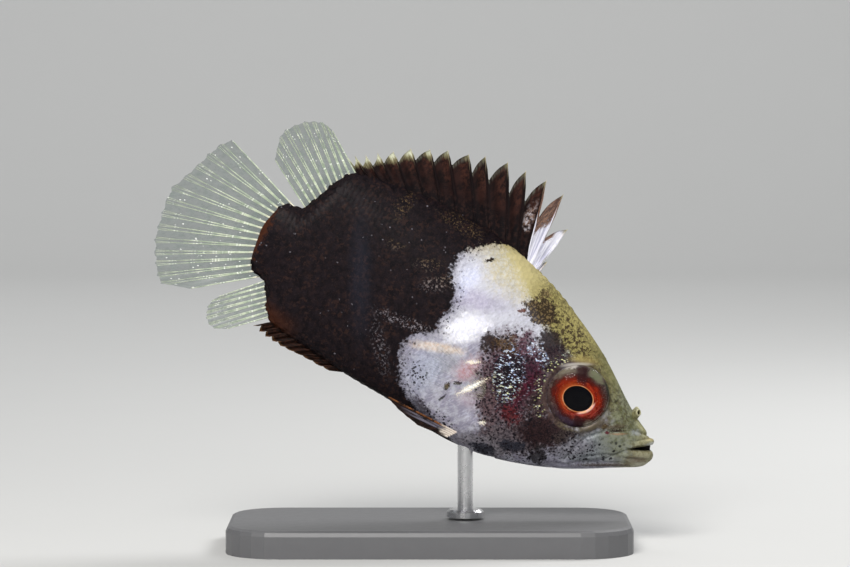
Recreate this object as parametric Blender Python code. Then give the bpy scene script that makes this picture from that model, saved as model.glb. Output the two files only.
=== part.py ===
"""African leaffish as a still, life-size model, swimming nose down over a small display stand.

The fish frame follows the body. A station is the distance behind the snout, a height is square to the body axis, and
the right side faces -Y. Sizes are in millimetres, and the points are turned into metres as they are made.
"""

import math

import bmesh
import bpy
from mathutils import Matrix, Vector

MM = 0.001
GAP = 0.3

# Pose of the fish, and the place of its snout over the stand
PITCH = 28.2
SNOUT_X = 28.4
SNOUT_HEIGHT = 12.8

# Body: station, back, belly, half width, height of the widest line
STATIONS = (
    (-0.85, -1.05, -1.75, 0.50, -1.35),
    (-0.55, -0.45, -2.40, 1.00, -1.35),
    (0.10, 0.95, -3.00, 1.50, -1.20),
    (1.40, 1.75, -3.75, 2.05, -1.10),
    (3.40, 2.75, -4.90, 2.70, -1.00),
    (5.60, 4.15, -6.20, 3.30, -0.90),
    (8.10, 5.95, -7.50, 3.85, -0.50),
    (10.30, 7.45, -8.50, 4.15, 0.00),
    (12.70, 8.85, -9.45, 4.35, 0.20),
    (16.00, 10.50, -10.50, 4.55, 0.40),
    (20.40, 12.40, -11.35, 4.75, 0.60),
    (24.00, 13.55, -11.55, 4.85, 0.80),
    (28.00, 14.50, -11.30, 4.80, 1.00),
    (33.00, 15.10, -10.45, 4.50, 1.40),
    (38.00, 15.10, -10.25, 4.00, 1.60),
    (44.00, 14.50, -9.65, 3.20, 1.70),
    (48.50, 13.75, -9.20, 2.50, 1.60),
    (50.40, 13.20, -8.95, 2.20, 1.50),
    (51.80, 11.30, -7.90, 2.00, 1.30),
    (53.20, 7.90, -5.70, 1.75, 1.10),
    (54.30, 5.95, -4.40, 1.55, 0.90),
    (55.40, 5.85, -4.20, 1.30, 0.90),
    (56.30, 5.55, -3.70, 1.00, 1.00),
    (57.00, 4.20, -2.30, 0.65, 1.10),
    (57.40, 2.60, 0.20, 0.30, 1.40),
)
RINGS_PER_STATION = 2
AROUND = 24
SNOUT_ROUNDNESS = 0.85
BACK_SHARPNESS = 1.20
SHARP_FROM = 22.0
BELLY_ROUNDNESS = 0.95

# Head: the lines that part it, as station and height
GILL_LINE = (
    (22.6, 17.0),
    (22.8, 12.5),
    (23.6, 8.2),
    (25.2, 5.0),
    (26.2, 2.9),
    (25.1, 1.0),
    (23.4, -1.8),
    (21.4, -4.9),
    (19.8, -7.2),
    (18.0, -9.4),
    (16.6, -13.0),
)
OPERCLE = (
    (17.2, 4.2),
    (18.4, 5.6),
    (20.6, 6.3),
    (23.2, 5.8),
    (25.0, 4.2),
    (25.6, 2.8),
    (24.5, 0.9),
    (22.8, -1.9),
    (20.8, -5.0),
    (19.2, -7.1),
    (17.4, -7.3),
    (15.9, -6.2),
    (15.7, -3.8),
    (16.5, -1.2),
    (17.0, 1.4),
)
OPERCLE_DEPTH = 2.9
UPPER_JAW = (
    (-4.0, 3.6),
    (0.3, 1.6),
    (1.45, 1.42),
    (4.0, 0.9),
    (6.3, -0.75),
    (7.95, -2.35),
    (8.75, -4.3),
    (9.1, -6.3),
    (8.5, -7.2),
    (5.0, -4.6),
    (2.4, -1.3),
    (0.2, 0.45),
    (-4.0, 3.4),
)
LOWER_JAW = (
    (-4.0, 0.9),
    (0.05, -0.6),
    (2.4, -1.5),
    (5.0, -4.55),
    (8.3, -6.85),
    (9.3, -6.9),
    (9.9, -8.2),
    (9.9, -13.0),
    (-4.0, -13.0),
)
LIP_RADIUS = 0.34
UPPER_LIP = ((2.5, 2.15, -0.95), (1.5, 1.95, -0.15), (0.75, 1.35, 0.5), (0.5, 0.7, 0.68), (0.42, 0.0, 0.72))
LOWER_LIP = ((2.5, 2.1, -1.95), (1.2, 1.8, -1.4), (0.2, 1.25, -1.05), (-0.3, 0.65, -0.98), (-0.45, 0.0, -1.0))
NOSTRIL_AT = (3.4, 0.75, 2.3)
NOSTRIL_RADIUS = 0.42
NOSTRIL_HOLE = 0.2
NOSTRIL_LENGTH = 1.5
NOSTRIL_LEAN = (-0.3, 0.35, 1.0)

# Eye: centre, and its outline turned about the crosswise axis, as radius and distance from the middle plane
EYE_STATION = 11.55
EYE_HEIGHT = 1.65
EYE_PROFILE = (
    (0.0, 1.5),
    (2.4, 1.7),
    (3.6, 2.4),
    (4.05, 3.2),
    (4.1, 3.7),
    (3.85, 4.25),
    (3.3, 4.65),
    (2.4, 5.0),
    (1.2, 5.2),
    (0.0, 5.25),
)
ROUND_STEPS = 24

# Trunk and tail part here
TAIL_FROM = 46.0

# Fins: membrane and ray thickness
WEB = 0.5
CREST = 0.8
TIP = 0.3
SPINE_WIDTH = 0.35

# Spines of the back: station at the root, station and height of the tip, and how far up the web before it reaches
BACK_SPINES = (
    (23.3, 23.0, 14.9, 0.00),
    (23.8, 22.7, 19.8, 0.22),
    (24.5, 25.3, 23.5, 0.44),
    (25.3, 28.1, 24.1, 0.58),
    (26.5, 31.0, 23.9, 0.68),
    (28.3, 33.6, 23.8, 0.67),
    (30.9, 36.5, 23.1, 0.74),
    (33.2, 38.5, 22.3, 0.79),
    (35.8, 41.1, 21.5, 0.83),
    (38.1, 43.2, 20.5, 0.84),
    (40.5, 45.4, 19.4, 0.84),
    (42.7, 47.2, 18.0, 0.82),
    (44.6, 48.9, 16.9, 0.78),
    (46.3, 50.1, 15.9, 0.72),
    (47.9, 51.3, 15.2, 0.66),
    (49.2, 52.3, 14.7, 0.60),
)
SOFT_BACK_ROOT = (50.0, 53.9)
SOFT_BACK_TIPS = (
    (55.5, 16.8),
    (56.3, 17.0),
    (57.1, 17.1),
    (58.1, 16.7),
    (59.1, 16.1),
    (60.0, 15.1),
    (60.8, 14.0),
    (61.0, 12.8),
    (60.6, 11.3),
    (60.2, 10.0),
)
TAIL_ROOT = (
    (56.2, 5.9),
    (57.3, 4.4),
    (57.75, 2.2),
    (57.7, 0.2),
    (57.3, -2.0),
    (56.6, -3.6),
    (55.7, -4.6),
)
TAIL_TIPS = (
    (66.3, 9.6),
    (67.3, 8.4),
    (68.1, 6.5),
    (68.7, 4.6),
    (69.3, 2.7),
    (70.2, 0.6),
    (70.1, -1.2),
    (69.8, -3.0),
    (69.4, -4.8),
    (69.0, -6.5),
    (68.2, -8.0),
    (67.5, -9.1),
    (66.5, -10.4),
    (65.6, -11.1),
    (62.0, -9.9),
)
BELLY_SPINES = (
    (38.4, 41.2, -10.8, 0.00),
    (39.8, 42.7, -10.85, 0.80),
    (41.2, 44.2, -10.8, 0.82),
    (42.6, 45.6, -10.8, 0.84),
    (43.9, 46.9, -10.9, 0.84),
    (45.2, 48.2, -10.95, 0.82),
    (46.5, 49.4, -10.9, 0.78),
    (47.8, 50.5, -10.8, 0.74),
    (49.0, 51.5, -10.6, 0.70),
    (50.1, 52.5, -10.3, 0.66),
)
SOFT_BELLY_ROOT = (51.3, 54.0)
SOFT_BELLY_TIPS = (
    (55.4, -12.3),
    (56.8, -13.0),
    (57.7, -12.9),
    (58.4, -12.3),
    (58.7, -11.7),
    (58.9, -10.9),
    (58.8, -10.0),
    (58.3, -9.2),
)

# Paired fins: both ends of the root, and the tips of their rays
PECTORAL_ROOT = ((23.2, -2.3), (22.7, -4.6))
PECTORAL_TIPS = (
    (29.2, 1.6),
    (30.5, 0.6),
    (31.4, -0.7),
    (31.8, -2.1),
    (31.8, -3.5),
    (31.3, -4.8),
    (30.4, -5.9),
    (29.2, -6.7),
    (27.7, -7.1),
)
PECTORAL_SPREAD = 0.22
PELVIC_ROOT = ((23.7, -9.9), (24.1, -10.9))
PELVIC_TIPS = ((33.1, -9.9), (32.3, -10.3), (31.2, -10.7), (29.8, -11.0), (28.2, -11.3))
PELVIC_SPREAD = 0.05
ROWS = 5

# Stand
BASE_LENGTH = 52.0
BASE_WIDTH = 28.0
BASE_HEIGHT = 3.5
BASE_CORNER = 7.0
BASE_EDGE = 0.7
ROD_X = 4.6
ROD_RADIUS = 1.0
ROD_TOP = 15.0
FOOT_RADIUS = 2.4
FOOT_HEIGHT = 1.0

SKIN_DARK = ((0.018, 0.012, 0.010), 0.42)
SKIN_PALE = ((0.52, 0.51, 0.55), 0.35)
SKIN_GILL = ((0.10, 0.030, 0.030), 0.35)
FIN_DARK = ((0.055, 0.022, 0.015), 0.45)
FIN_CLEAR = ((0.30, 0.36, 0.30), 0.30)
EYE_RED = ((0.45, 0.08, 0.03), 0.12)
STAND_GREY = ((0.16, 0.16, 0.17), 0.50)
STEEL = ((0.60, 0.60, 0.61), 0.28)


def clear_scene():
    for obj in list(bpy.data.objects):
        bpy.data.objects.remove(obj, do_unlink=True)


def material(name, look, metallic=0.0):
    colour, roughness = look
    made = bpy.data.materials.new(name)
    made.use_nodes = True
    shader = made.node_tree.nodes["Principled BSDF"]
    shader.inputs["Base Color"].default_value = (*colour, 1.0)
    shader.inputs["Roughness"].default_value = roughness
    shader.inputs["Metallic"].default_value = metallic
    return made


def point(station, side, height):
    return Vector((-station, side, height)) * MM


def mix(a, b, part):
    return tuple(p + (q - p) * part for p, q in zip(a, b))


class Curve:
    """A smooth line through measured sizes that never swings past them."""

    def __init__(self, places, sizes):
        self.places = places
        self.sizes = sizes
        steps = [
            (b - a) / (y - x) for x, y, a, b in zip(places, places[1:], sizes, sizes[1:])
        ]
        self.slopes = [steps[0]]
        for before, after in zip(steps, steps[1:]):
            level = before * after <= 0
            self.slopes.append(0.0 if level else 2 * before * after / (before + after))
        self.slopes.append(steps[-1])

    def __call__(self, place):
        place = min(max(place, self.places[0]), self.places[-1])
        i = 0
        while i < len(self.places) - 2 and place > self.places[i + 1]:
            i += 1
        run = self.places[i + 1] - self.places[i]
        t = (place - self.places[i]) / run
        return (
            self.sizes[i] * (1 + 2 * t) * (1 - t) ** 2
            + self.slopes[i] * run * t * (1 - t) ** 2
            + self.sizes[i + 1] * t * t * (3 - 2 * t)
            + self.slopes[i + 1] * run * t * t * (t - 1)
        )


PLACES = [row[0] for row in STATIONS]
BACK = Curve(PLACES, [row[1] for row in STATIONS])
BELLY = Curve(PLACES, [row[2] for row in STATIONS])
HALF_WIDTH = Curve(PLACES, [row[3] for row in STATIONS])
WIDEST = Curve(PLACES, [row[4] for row in STATIONS])


def sharpness(station, above):
    """The power that draws a section in towards the ridge of the back or the belly."""
    if not above:
        return BELLY_ROUNDNESS
    part = min(max(station / SHARP_FROM, 0.0), 1.0)
    return SNOUT_ROUNDNESS + (BACK_SHARPNESS - SNOUT_ROUNDNESS) * part


def section(station):
    """One closed ring of the body, from the belly up the left side and down the right."""
    middle = WIDEST(station)
    ring = []
    for k in range(AROUND):
        turn = -math.pi / 2 + 2 * math.pi * k / AROUND
        lift = math.sin(turn)
        reach = BACK(station) - middle if lift > 0 else middle - BELLY(station)
        side = abs(math.cos(turn)) ** sharpness(station, lift > 0)
        side = math.copysign(side, math.cos(turn)) if k % (AROUND // 2) else 0.0
        ring.append(point(station, HALF_WIDTH(station) * side, middle + reach * lift))
    return ring


def flank(station, height):
    """Half width of the body at a station and a height."""
    middle = WIDEST(station)
    above = height > middle
    reach = BACK(station) - middle if above else middle - BELLY(station)
    part = min(abs(height - middle) / reach, 1.0)
    return HALF_WIDTH(station) * (1 - part * part) ** (sharpness(station, above) / 2)


def new_object(name, bm, looks=None):
    bmesh.ops.recalc_face_normals(bm, faces=bm.faces)
    mesh = bpy.data.meshes.new(name)
    bm.to_mesh(mesh)
    bm.free()
    obj = bpy.data.objects.new(name, mesh)
    bpy.context.scene.collection.objects.link(obj)
    if looks is not None:
        mesh.materials.append(looks)
    return obj


def body():
    bm = bmesh.new()
    rings = []
    for a, b in zip(PLACES, PLACES[1:]):
        for k in range(RINGS_PER_STATION):
            rings.append(section(a + (b - a) * k / RINGS_PER_STATION))
    rings.append(section(PLACES[-1]))
    rows = [[bm.verts.new(co) for co in ring] for ring in rings]
    for first, second in zip(rows, rows[1:]):
        for k in range(AROUND):
            n = (k + 1) % AROUND
            bm.faces.new((first[k], first[n], second[n], second[k]))
    bm.faces.new(rows[0])
    bm.faces.new(rows[-1])
    bmesh.ops.triangulate(bm, faces=bm.faces)
    return new_object("body", bm)


def prism(outline, from_side, to_side):
    """A block with the outline given as station and height, between two distances from the middle plane."""
    bm = bmesh.new()
    near = [bm.verts.new(point(s, from_side, h)) for s, h in outline]
    far = [bm.verts.new(point(s, to_side, h)) for s, h in outline]
    count = len(outline)
    bm.faces.new(near)
    bm.faces.new(far)
    for k in range(count):
        n = (k + 1) % count
        bm.faces.new((near[k], near[n], far[n], far[k]))
    bmesh.ops.triangulate(bm, faces=bm.faces)
    return new_object("cutter", bm)


def grown(outline, by):
    """The outline with every side moved out."""
    area = sum(a[0] * b[1] - b[0] * a[1] for a, b in zip(outline, outline[1:] + outline[:1]))
    turn = 1.0 if area > 0 else -1.0
    moved = []
    count = len(outline)
    for k in range(count):
        here = Vector(outline[k])
        before = (here - Vector(outline[k - 1])).normalized()
        after = (Vector(outline[(k + 1) % count]) - here).normalized()
        out_before = Vector((before.y, -before.x)) * turn
        out_after = Vector((after.y, -after.x)) * turn
        along = out_before + out_after
        moved.append(tuple(here + along * (2 * by / max(along.length_squared, 0.8))))
    return tuple(moved)


def revolve(profile, place, axis, looks=None, name="turned", steps=ROUND_STEPS):
    """A solid turned about an axis from an outline of radius and distance along the axis."""
    bm = bmesh.new()
    rows = []
    for radius, along in profile:
        if radius == 0.0:
            rows.append([bm.verts.new((0.0, 0.0, along * MM))])
            continue
        angles = [2 * math.pi * k / steps for k in range(steps)]
        rows.append(
            [
                bm.verts.new(Vector((radius * math.cos(a), radius * math.sin(a), along)) * MM)
                for a in angles
            ]
        )
    for first, second in zip(rows, rows[1:]):
        for k in range(steps):
            n = (k + 1) % steps
            if len(first) == 1:
                bm.faces.new((first[0], second[k], second[n]))
            elif len(second) == 1:
                bm.faces.new((first[k], first[n], second[0]))
            else:
                bm.faces.new((first[k], first[n], second[n], second[k]))
    turned = Vector((0, 0, 1)).rotation_difference(Vector(axis)).to_matrix().to_4x4()
    bmesh.ops.transform(bm, matrix=Matrix.Translation(Vector(place)) @ turned, verts=bm.verts)
    bmesh.ops.triangulate(bm, faces=bm.faces)
    return new_object(name, bm, looks)


def measure(mesh):
    """Whether a mesh is closed, and its volume in cubic millimetres."""
    bm = bmesh.new()
    bm.from_mesh(mesh)
    closed = all(len(edge.link_faces) == 2 for edge in bm.edges)
    volume = bm.calc_volume(signed=True) / MM**3
    bm.free()
    return closed, volume


def combine(obj, other, operation):
    """Joins, cuts or crosses an object with another, then takes the other out of the scene."""
    volume = measure(obj.data)[1]
    step = obj.modifiers.new("step", "BOOLEAN")
    step.operation = operation
    step.object = other
    for solver in ("EXACT", "MANIFOLD"):
        step.solver = solver
        bpy.context.view_layer.update()
        graph = bpy.context.evaluated_depsgraph_get()
        made = bpy.data.meshes.new_from_object(obj.evaluated_get(graph))
        closed, new_volume = measure(made)
        if closed and new_volume > 0 and abs(new_volume - volume) > 0.001:
            break
    obj.modifiers.clear()
    before = obj.data
    obj.data = made
    bpy.data.meshes.remove(before)
    bpy.data.objects.remove(other, do_unlink=True)
    return obj


def pieces_of(bm):
    """The connected pieces of a mesh, as lists of faces."""
    waiting = set(bm.faces)
    while waiting:
        piece = []
        edge = [waiting.pop()]
        while edge:
            face = edge.pop()
            piece.append(face)
            for link in face.edges:
                near = [f for f in link.link_faces if f in waiting]
                waiting.difference_update(near)
                edge.extend(near)
        yield piece


def volume_of(piece):
    total = 0.0
    for face in piece:
        a, b, c = (vert.co for vert in face.verts)
        total += a.dot(b.cross(c)) / 6
    return total


def keep_largest(obj):
    bm = bmesh.new()
    bm.from_mesh(obj.data)
    bmesh.ops.remove_doubles(bm, verts=bm.verts, dist=0.00001)
    bmesh.ops.dissolve_degenerate(bm, edges=bm.edges, dist=0.00001)
    bmesh.ops.triangulate(bm, faces=bm.faces)
    pieces = sorted(pieces_of(bm), key=volume_of)
    spare = [face for piece in pieces[:-1] for face in piece]
    bmesh.ops.delete(bm, geom=spare, context="FACES")
    bm.to_mesh(obj.data)
    bm.free()


def flesh(name, whole, looks):
    obj = bpy.data.objects.new(name, whole.data.copy())
    bpy.context.scene.collection.objects.link(obj)
    obj.data.materials.clear()
    obj.data.materials.append(looks)
    return obj


def through(outline):
    return prism(outline, -8.0, 8.0)


def head_region():
    return ((-6.0, -13.0), (-6.0, 17.0)) + GILL_LINE


def tail_region():
    return ((TAIL_FROM, -16.0), (TAIL_FROM, 22.0), (62.0, 22.0), (62.0, -16.0))


def eye_profile(more):
    """The eye's outline, moved out for its socket."""
    middle = (EYE_PROFILE[0][1] + EYE_PROFILE[-1][1]) / 2
    grown_radius = [r + more if r else 0.0 for r, _ in EYE_PROFILE]
    moved = [d + math.copysign(more, d - middle) for _, d in EYE_PROFILE]
    return tuple(zip(grown_radius, moved))


def eye(side, more=0.0, looks=None, name="cutter"):
    place = point(EYE_STATION, 0.0, EYE_HEIGHT)
    return revolve(eye_profile(more), place, (0, side, 0), looks, name)


def nostril(side):
    station, across, height = NOSTRIL_AT
    lean, out, up = NOSTRIL_LEAN
    place = point(station, across * side, height)
    axis = (-lean, out * side, up)
    deep = NOSTRIL_LENGTH * 0.55
    profile = (
        (0.0, 0.0),
        (NOSTRIL_RADIUS, 0.0),
        (NOSTRIL_RADIUS * 0.9, NOSTRIL_LENGTH),
        (NOSTRIL_HOLE, NOSTRIL_LENGTH),
        (NOSTRIL_HOLE, deep),
        (0.0, deep),
    )
    return revolve(profile, place, axis, steps=10)


def lip(path, radius):
    """A rounded rim that runs round the front of a jaw."""
    left = [Vector(point(*place)) for place in path]
    right = [Vector((co.x, -co.y, co.z)) for co in reversed(left[:-1])]
    line = left + right
    bm = bmesh.new()
    rows = []
    for k, co in enumerate(line):
        ahead = line[min(k + 1, len(line) - 1)] - line[max(k - 1, 0)]
        side = ahead.cross(Vector((0, 0, 1))).normalized()
        up = side.cross(ahead).normalized()
        ends = 0.6 if k in (0, len(line) - 1) else 1.0
        row = []
        for n in range(8):
            a = 2 * math.pi * n / 8
            row.append(bm.verts.new(co + (side * math.cos(a) + up * math.sin(a)) * radius * ends * MM))
        rows.append(row)
    for first, second in zip(rows, rows[1:]):
        for n in range(8):
            m = (n + 1) % 8
            bm.faces.new((first[n], first[m], second[m], second[n]))
    bm.faces.new(rows[0])
    bm.faces.new(rows[-1])
    bmesh.ops.triangulate(bm, faces=bm.faces)
    return new_object("lip", bm)


def build_flesh(looks):
    whole = body()
    parts = {}

    trunk = flesh("trunk", whole, looks["trunk"])
    combine(trunk, through(grown(head_region(), GAP)), "DIFFERENCE")
    combine(trunk, through(grown(tail_region(), GAP)), "DIFFERENCE")
    combine(trunk, rod_socket(), "DIFFERENCE")
    parts["trunk"] = trunk

    tail = flesh("tail_base", whole, looks["tail_base"])
    combine(tail, through(tail_region()), "INTERSECT")
    parts["tail_base"] = tail

    lower = flesh("lower_jaw", whole, looks["lower_jaw"])
    combine(lower, through(LOWER_JAW), "INTERSECT")
    combine(lower, lip(LOWER_LIP, LIP_RADIUS), "UNION")
    parts["lower_jaw"] = lower

    upper = flesh("upper_jaw", whole, looks["upper_jaw"])
    combine(upper, through(UPPER_JAW), "INTERSECT")
    combine(upper, through(grown(LOWER_JAW, GAP)), "DIFFERENCE")
    combine(upper, lip(UPPER_LIP, LIP_RADIUS), "UNION")
    parts["upper_jaw"] = upper

    head = flesh("head", whole, looks["head"])
    combine(head, through(head_region()), "INTERSECT")
    combine(head, through(grown(UPPER_JAW, GAP)), "DIFFERENCE")
    combine(head, through(grown(LOWER_JAW, GAP)), "DIFFERENCE")
    for side, name in ((-1, "right"), (1, "left")):
        combine(head, eye(side, GAP), "DIFFERENCE")
        cover = prism(grown(OPERCLE, GAP), side * (OPERCLE_DEPTH - GAP), side * 8.0)
        combine(head, cover, "DIFFERENCE")
        plate = flesh("opercle_" + name, whole, looks["opercle_" + name])
        combine(plate, prism(OPERCLE, side * OPERCLE_DEPTH, side * 8.0), "INTERSECT")
        parts["opercle_" + name] = plate
        parts["eye_" + name] = eye(side, 0.0, looks["eye_" + name], "eye_" + name)
    keep_largest(head)
    for side in (-1, 1):
        combine(head, nostril(side), "UNION")
    parts["head"] = head
    for name, obj in parts.items():
        if not name.startswith("eye"):
            keep_largest(obj)
    bpy.data.objects.remove(whole, do_unlink=True)
    return list(parts.values())


def rim_point(edge, station):
    """A point just off the ridge of the back or the belly, square to it."""
    step = 0.05
    run = Vector((2 * step, edge(station + step) - edge(station - step))).normalized()
    out = Vector((-run.y, run.x)) if edge is BACK else Vector((run.y, -run.x))
    return (station + out.x * GAP, edge(station) + out.y * GAP)


def spine_columns(edge, spines):
    """Ribs of a spiny fin: a spine's free tip, the lobe of membrane behind it, and the notch before the next."""
    columns = []
    for k, (root_station, *tip, _) in enumerate(spines):
        root = rim_point(edge, root_station)
        columns.append((root, tuple(tip), True))
        if k + 1 == len(spines):
            continue
        next_station, *next_tip, notch = spines[k + 1]
        next_root = rim_point(edge, next_station)
        low = mix(next_root, next_tip, notch)
        low = (low[0] - SPINE_WIDTH, low[1])
        between = rim_point(edge, root_station + (next_station - root_station) * 0.45)
        before = rim_point(edge, root_station + (next_station - root_station) * 0.85)
        columns.append((between, mix(tip, low, 0.38), False))
        columns.append((before, low, False))
    return columns


def along(line, part):
    """The point at a share of the way along a line of points."""
    lengths = [math.dist(a, b) for a, b in zip(line, line[1:])]
    left = part * sum(lengths)
    for a, b, length in zip(line, line[1:], lengths):
        if left <= length:
            return mix(a, b, left / length)
        left -= length
    return line[-1]


def ray_columns(root_line, tips, dip=0.04):
    """Ribs of a soft fin: a ray to each tip, and the membrane between two rays."""
    columns = []
    count = len(tips) - 1
    for k, tip in enumerate(tips):
        root = along(root_line, k / count)
        columns.append((root, tip, True))
        if k < count:
            middle_root = along(root_line, (k + 0.5) / count)
            edge = mix(mix(tip, tips[k + 1], 0.5), middle_root, dip)
            columns.append((middle_root, edge, False))
    return columns


def rim_line(edge, stations, steps=8):
    first, last = stations
    return [rim_point(edge, first + (last - first) * k / steps) for k in range(steps + 1)]


def fin(name, columns, looks, place):
    """A thin closed sheet over the ribs, split into triangles alike on both faces."""
    bm = bmesh.new()
    faces_of = {}
    for face in (-1, 1):
        grid = []
        for root, margin, is_ray in columns:
            rib = []
            for row in range(ROWS + 1):
                part = row / ROWS
                s, h = mix(root, margin, part)
                thick = (CREST if is_ray else WEB) * (1 - part) + TIP * part
                rib.append(bm.verts.new(point(s, place(s, h, part) + face * thick / 2, h)))
            grid.append(rib)
        faces_of[face] = grid
        for first, second in zip(grid, grid[1:]):
            for row in range(ROWS):
                a, b, c, d = first[row], second[row], second[row + 1], first[row + 1]
                bm.faces.new((a, b, c) if face > 0 else (c, b, a))
                bm.faces.new((a, c, d) if face > 0 else (d, c, a))
    low, high = faces_of[-1], faces_of[1]
    rims = [
        ([rib[0] for rib in low], [rib[0] for rib in high]),
        ([rib[-1] for rib in low], [rib[-1] for rib in high]),
        (low[0], high[0]),
        (low[-1], high[-1]),
    ]
    for one, other in rims:
        for k in range(len(one) - 1):
            bm.faces.new((one[k], one[k + 1], other[k + 1], other[k]))
    bmesh.ops.triangulate(bm, faces=[face for face in bm.faces if len(face.verts) > 3])
    return new_object(name, bm, looks)


def upright(bend):
    """Places a fin of the middle plane, with a slight sway that grows to its rim."""
    return lambda station, height, part: bend * part * part


def beside(side, spread, root):
    """Places a paired fin against the flank, opening outwards from its root."""

    def place(station, height, part):
        off = flank(station, height) + GAP + WEB / 2 + 0.1
        off_root = flank(*root) + GAP + WEB / 2 + 0.1
        away = spread * max(station - root[0], 0.0)
        return side * max(off, off_root * (1 - part) + (off_root + away) * part)

    return place


def build_fins(looks):
    made = []
    spiny = spine_columns(BACK, BACK_SPINES)
    made.append(fin("dorsal_fin_spiny", spiny, looks["dorsal_fin_spiny"], upright(0.0)))
    root = rim_line(BACK, SOFT_BACK_ROOT)
    soft = ray_columns(root, SOFT_BACK_TIPS)
    made.append(fin("dorsal_fin_soft", soft, looks["dorsal_fin_soft"], upright(-0.8)))
    tail = ray_columns(TAIL_ROOT, TAIL_TIPS)
    made.append(fin("caudal_fin", tail, looks["caudal_fin"], upright(-1.2)))
    spiny = spine_columns(BELLY, BELLY_SPINES)
    made.append(fin("anal_fin_spiny", spiny, looks["anal_fin_spiny"], upright(0.0)))
    root = rim_line(BELLY, SOFT_BELLY_ROOT)
    soft = ray_columns(root, SOFT_BELLY_TIPS)
    made.append(fin("anal_fin_soft", soft, looks["anal_fin_soft"], upright(-0.6)))
    for side, name in ((-1, "right"), (1, "left")):
        columns = ray_columns(PECTORAL_ROOT, PECTORAL_TIPS)
        place = beside(side, PECTORAL_SPREAD, PECTORAL_ROOT[0])
        made.append(fin("pectoral_fin_" + name, columns, looks["pectoral_fin_" + name], place))
        columns = ray_columns(PELVIC_ROOT, PELVIC_TIPS)
        place = beside(side, PELVIC_SPREAD, PELVIC_ROOT[0])
        made.append(fin("pelvic_fin_" + name, columns, looks["pelvic_fin_" + name], place))
    return made


def fish_frame():
    """The matrix that carries the fish frame to its place over the stand."""
    place = Matrix.Translation(Vector((SNOUT_X, 0.0, SNOUT_HEIGHT)) * MM)
    return place @ Matrix.Rotation(math.radians(PITCH), 4, "Y")


def rod_socket():
    """The hole in the belly that the rod stands in, in the fish frame."""
    radius = ROD_RADIUS + GAP
    profile = ((0.0, 0.0), (radius, 0.0), (radius, ROD_TOP + GAP), (0.0, ROD_TOP + GAP))
    hole = revolve(profile, Vector((ROD_X * MM, 0.0, 0.0)), (0, 0, 1))
    hole.data.transform(fish_frame().inverted())
    return hole


def build_stand(looks):
    bm = bmesh.new()
    bmesh.ops.create_cube(bm, size=1.0)
    size = Vector((BASE_LENGTH, BASE_WIDTH, BASE_HEIGHT)) * MM
    bmesh.ops.scale(bm, vec=size, verts=bm.verts)
    bmesh.ops.translate(bm, vec=(0.0, 0.0, size.z / 2), verts=bm.verts)
    uprights = [e for e in bm.edges if abs(e.verts[0].co.z - e.verts[1].co.z) > size.z / 2]
    bmesh.ops.bevel(bm, geom=uprights, offset=BASE_CORNER * MM, segments=6, profile=0.5, affect="EDGES")
    top = [f for f in bm.faces if f.normal.z > 0.9]
    rim = list({edge for face in top for edge in face.edges})
    bmesh.ops.bevel(bm, geom=rim, offset=BASE_EDGE * MM, segments=2, profile=0.5, affect="EDGES")
    base = new_object("stand_base", bm, looks["stand_base"])
    foot = BASE_HEIGHT + GAP
    profile = (
        (0.0, foot),
        (FOOT_RADIUS, foot),
        (FOOT_RADIUS, foot + FOOT_HEIGHT - 0.3),
        (FOOT_RADIUS - 0.3, foot + FOOT_HEIGHT),
        (ROD_RADIUS, foot + FOOT_HEIGHT),
        (ROD_RADIUS, ROD_TOP - 0.2),
        (ROD_RADIUS - 0.2, ROD_TOP),
        (0.0, ROD_TOP),
    )
    at = Vector((ROD_X * MM, 0.0, 0.0))
    rod = revolve(profile, at, (0, 0, 1), looks["stand_rod"], "stand_rod")
    return base, rod


NODE_LOOKS = {
    "head": SKIN_PALE,
    "upper_jaw": SKIN_PALE,
    "lower_jaw": SKIN_PALE,
    "opercle_right": SKIN_GILL,
    "opercle_left": SKIN_GILL,
    "eye_right": EYE_RED,
    "eye_left": EYE_RED,
    "trunk": SKIN_DARK,
    "tail_base": SKIN_DARK,
    "dorsal_fin_spiny": FIN_DARK,
    "dorsal_fin_soft": FIN_CLEAR,
    "caudal_fin": FIN_CLEAR,
    "anal_fin_spiny": FIN_DARK,
    "anal_fin_soft": FIN_CLEAR,
    "pectoral_fin_right": FIN_CLEAR,
    "pectoral_fin_left": FIN_CLEAR,
    "pelvic_fin_right": FIN_DARK,
    "pelvic_fin_left": FIN_DARK,
    "stand_base": STAND_GREY,
    "stand_rod": STEEL,
}


def main():
    clear_scene()
    looks = {name: material(name, look) for name, look in NODE_LOOKS.items()}
    looks["stand_rod"].node_tree.nodes["Principled BSDF"].inputs["Metallic"].default_value = 1.0
    axis = bpy.data.objects.new("fish_axis", None)
    bpy.context.scene.collection.objects.link(axis)
    axis.location = (SNOUT_X * MM, 0.0, SNOUT_HEIGHT * MM)
    axis.rotation_euler = (0.0, math.radians(PITCH), 0.0)
    pieces = build_flesh(looks) + build_fins(looks)
    for obj in pieces:
        obj.parent = axis
    for obj in pieces + list(build_stand(looks)):
        obj.data.shade_smooth()
        obj.data.set_sharp_from_angle(angle=math.radians(35))


main()
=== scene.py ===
"""Looks of the african leaffish model: one skin with its coat of scales, clear and dark fins, eyes, stand and studio.

The fish frame follows the body. A station is the distance behind the snout, a side is square to the middle plane with
the fish's right side negative, and a height is square to the body axis, all in millimetres.
"""

import math

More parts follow.
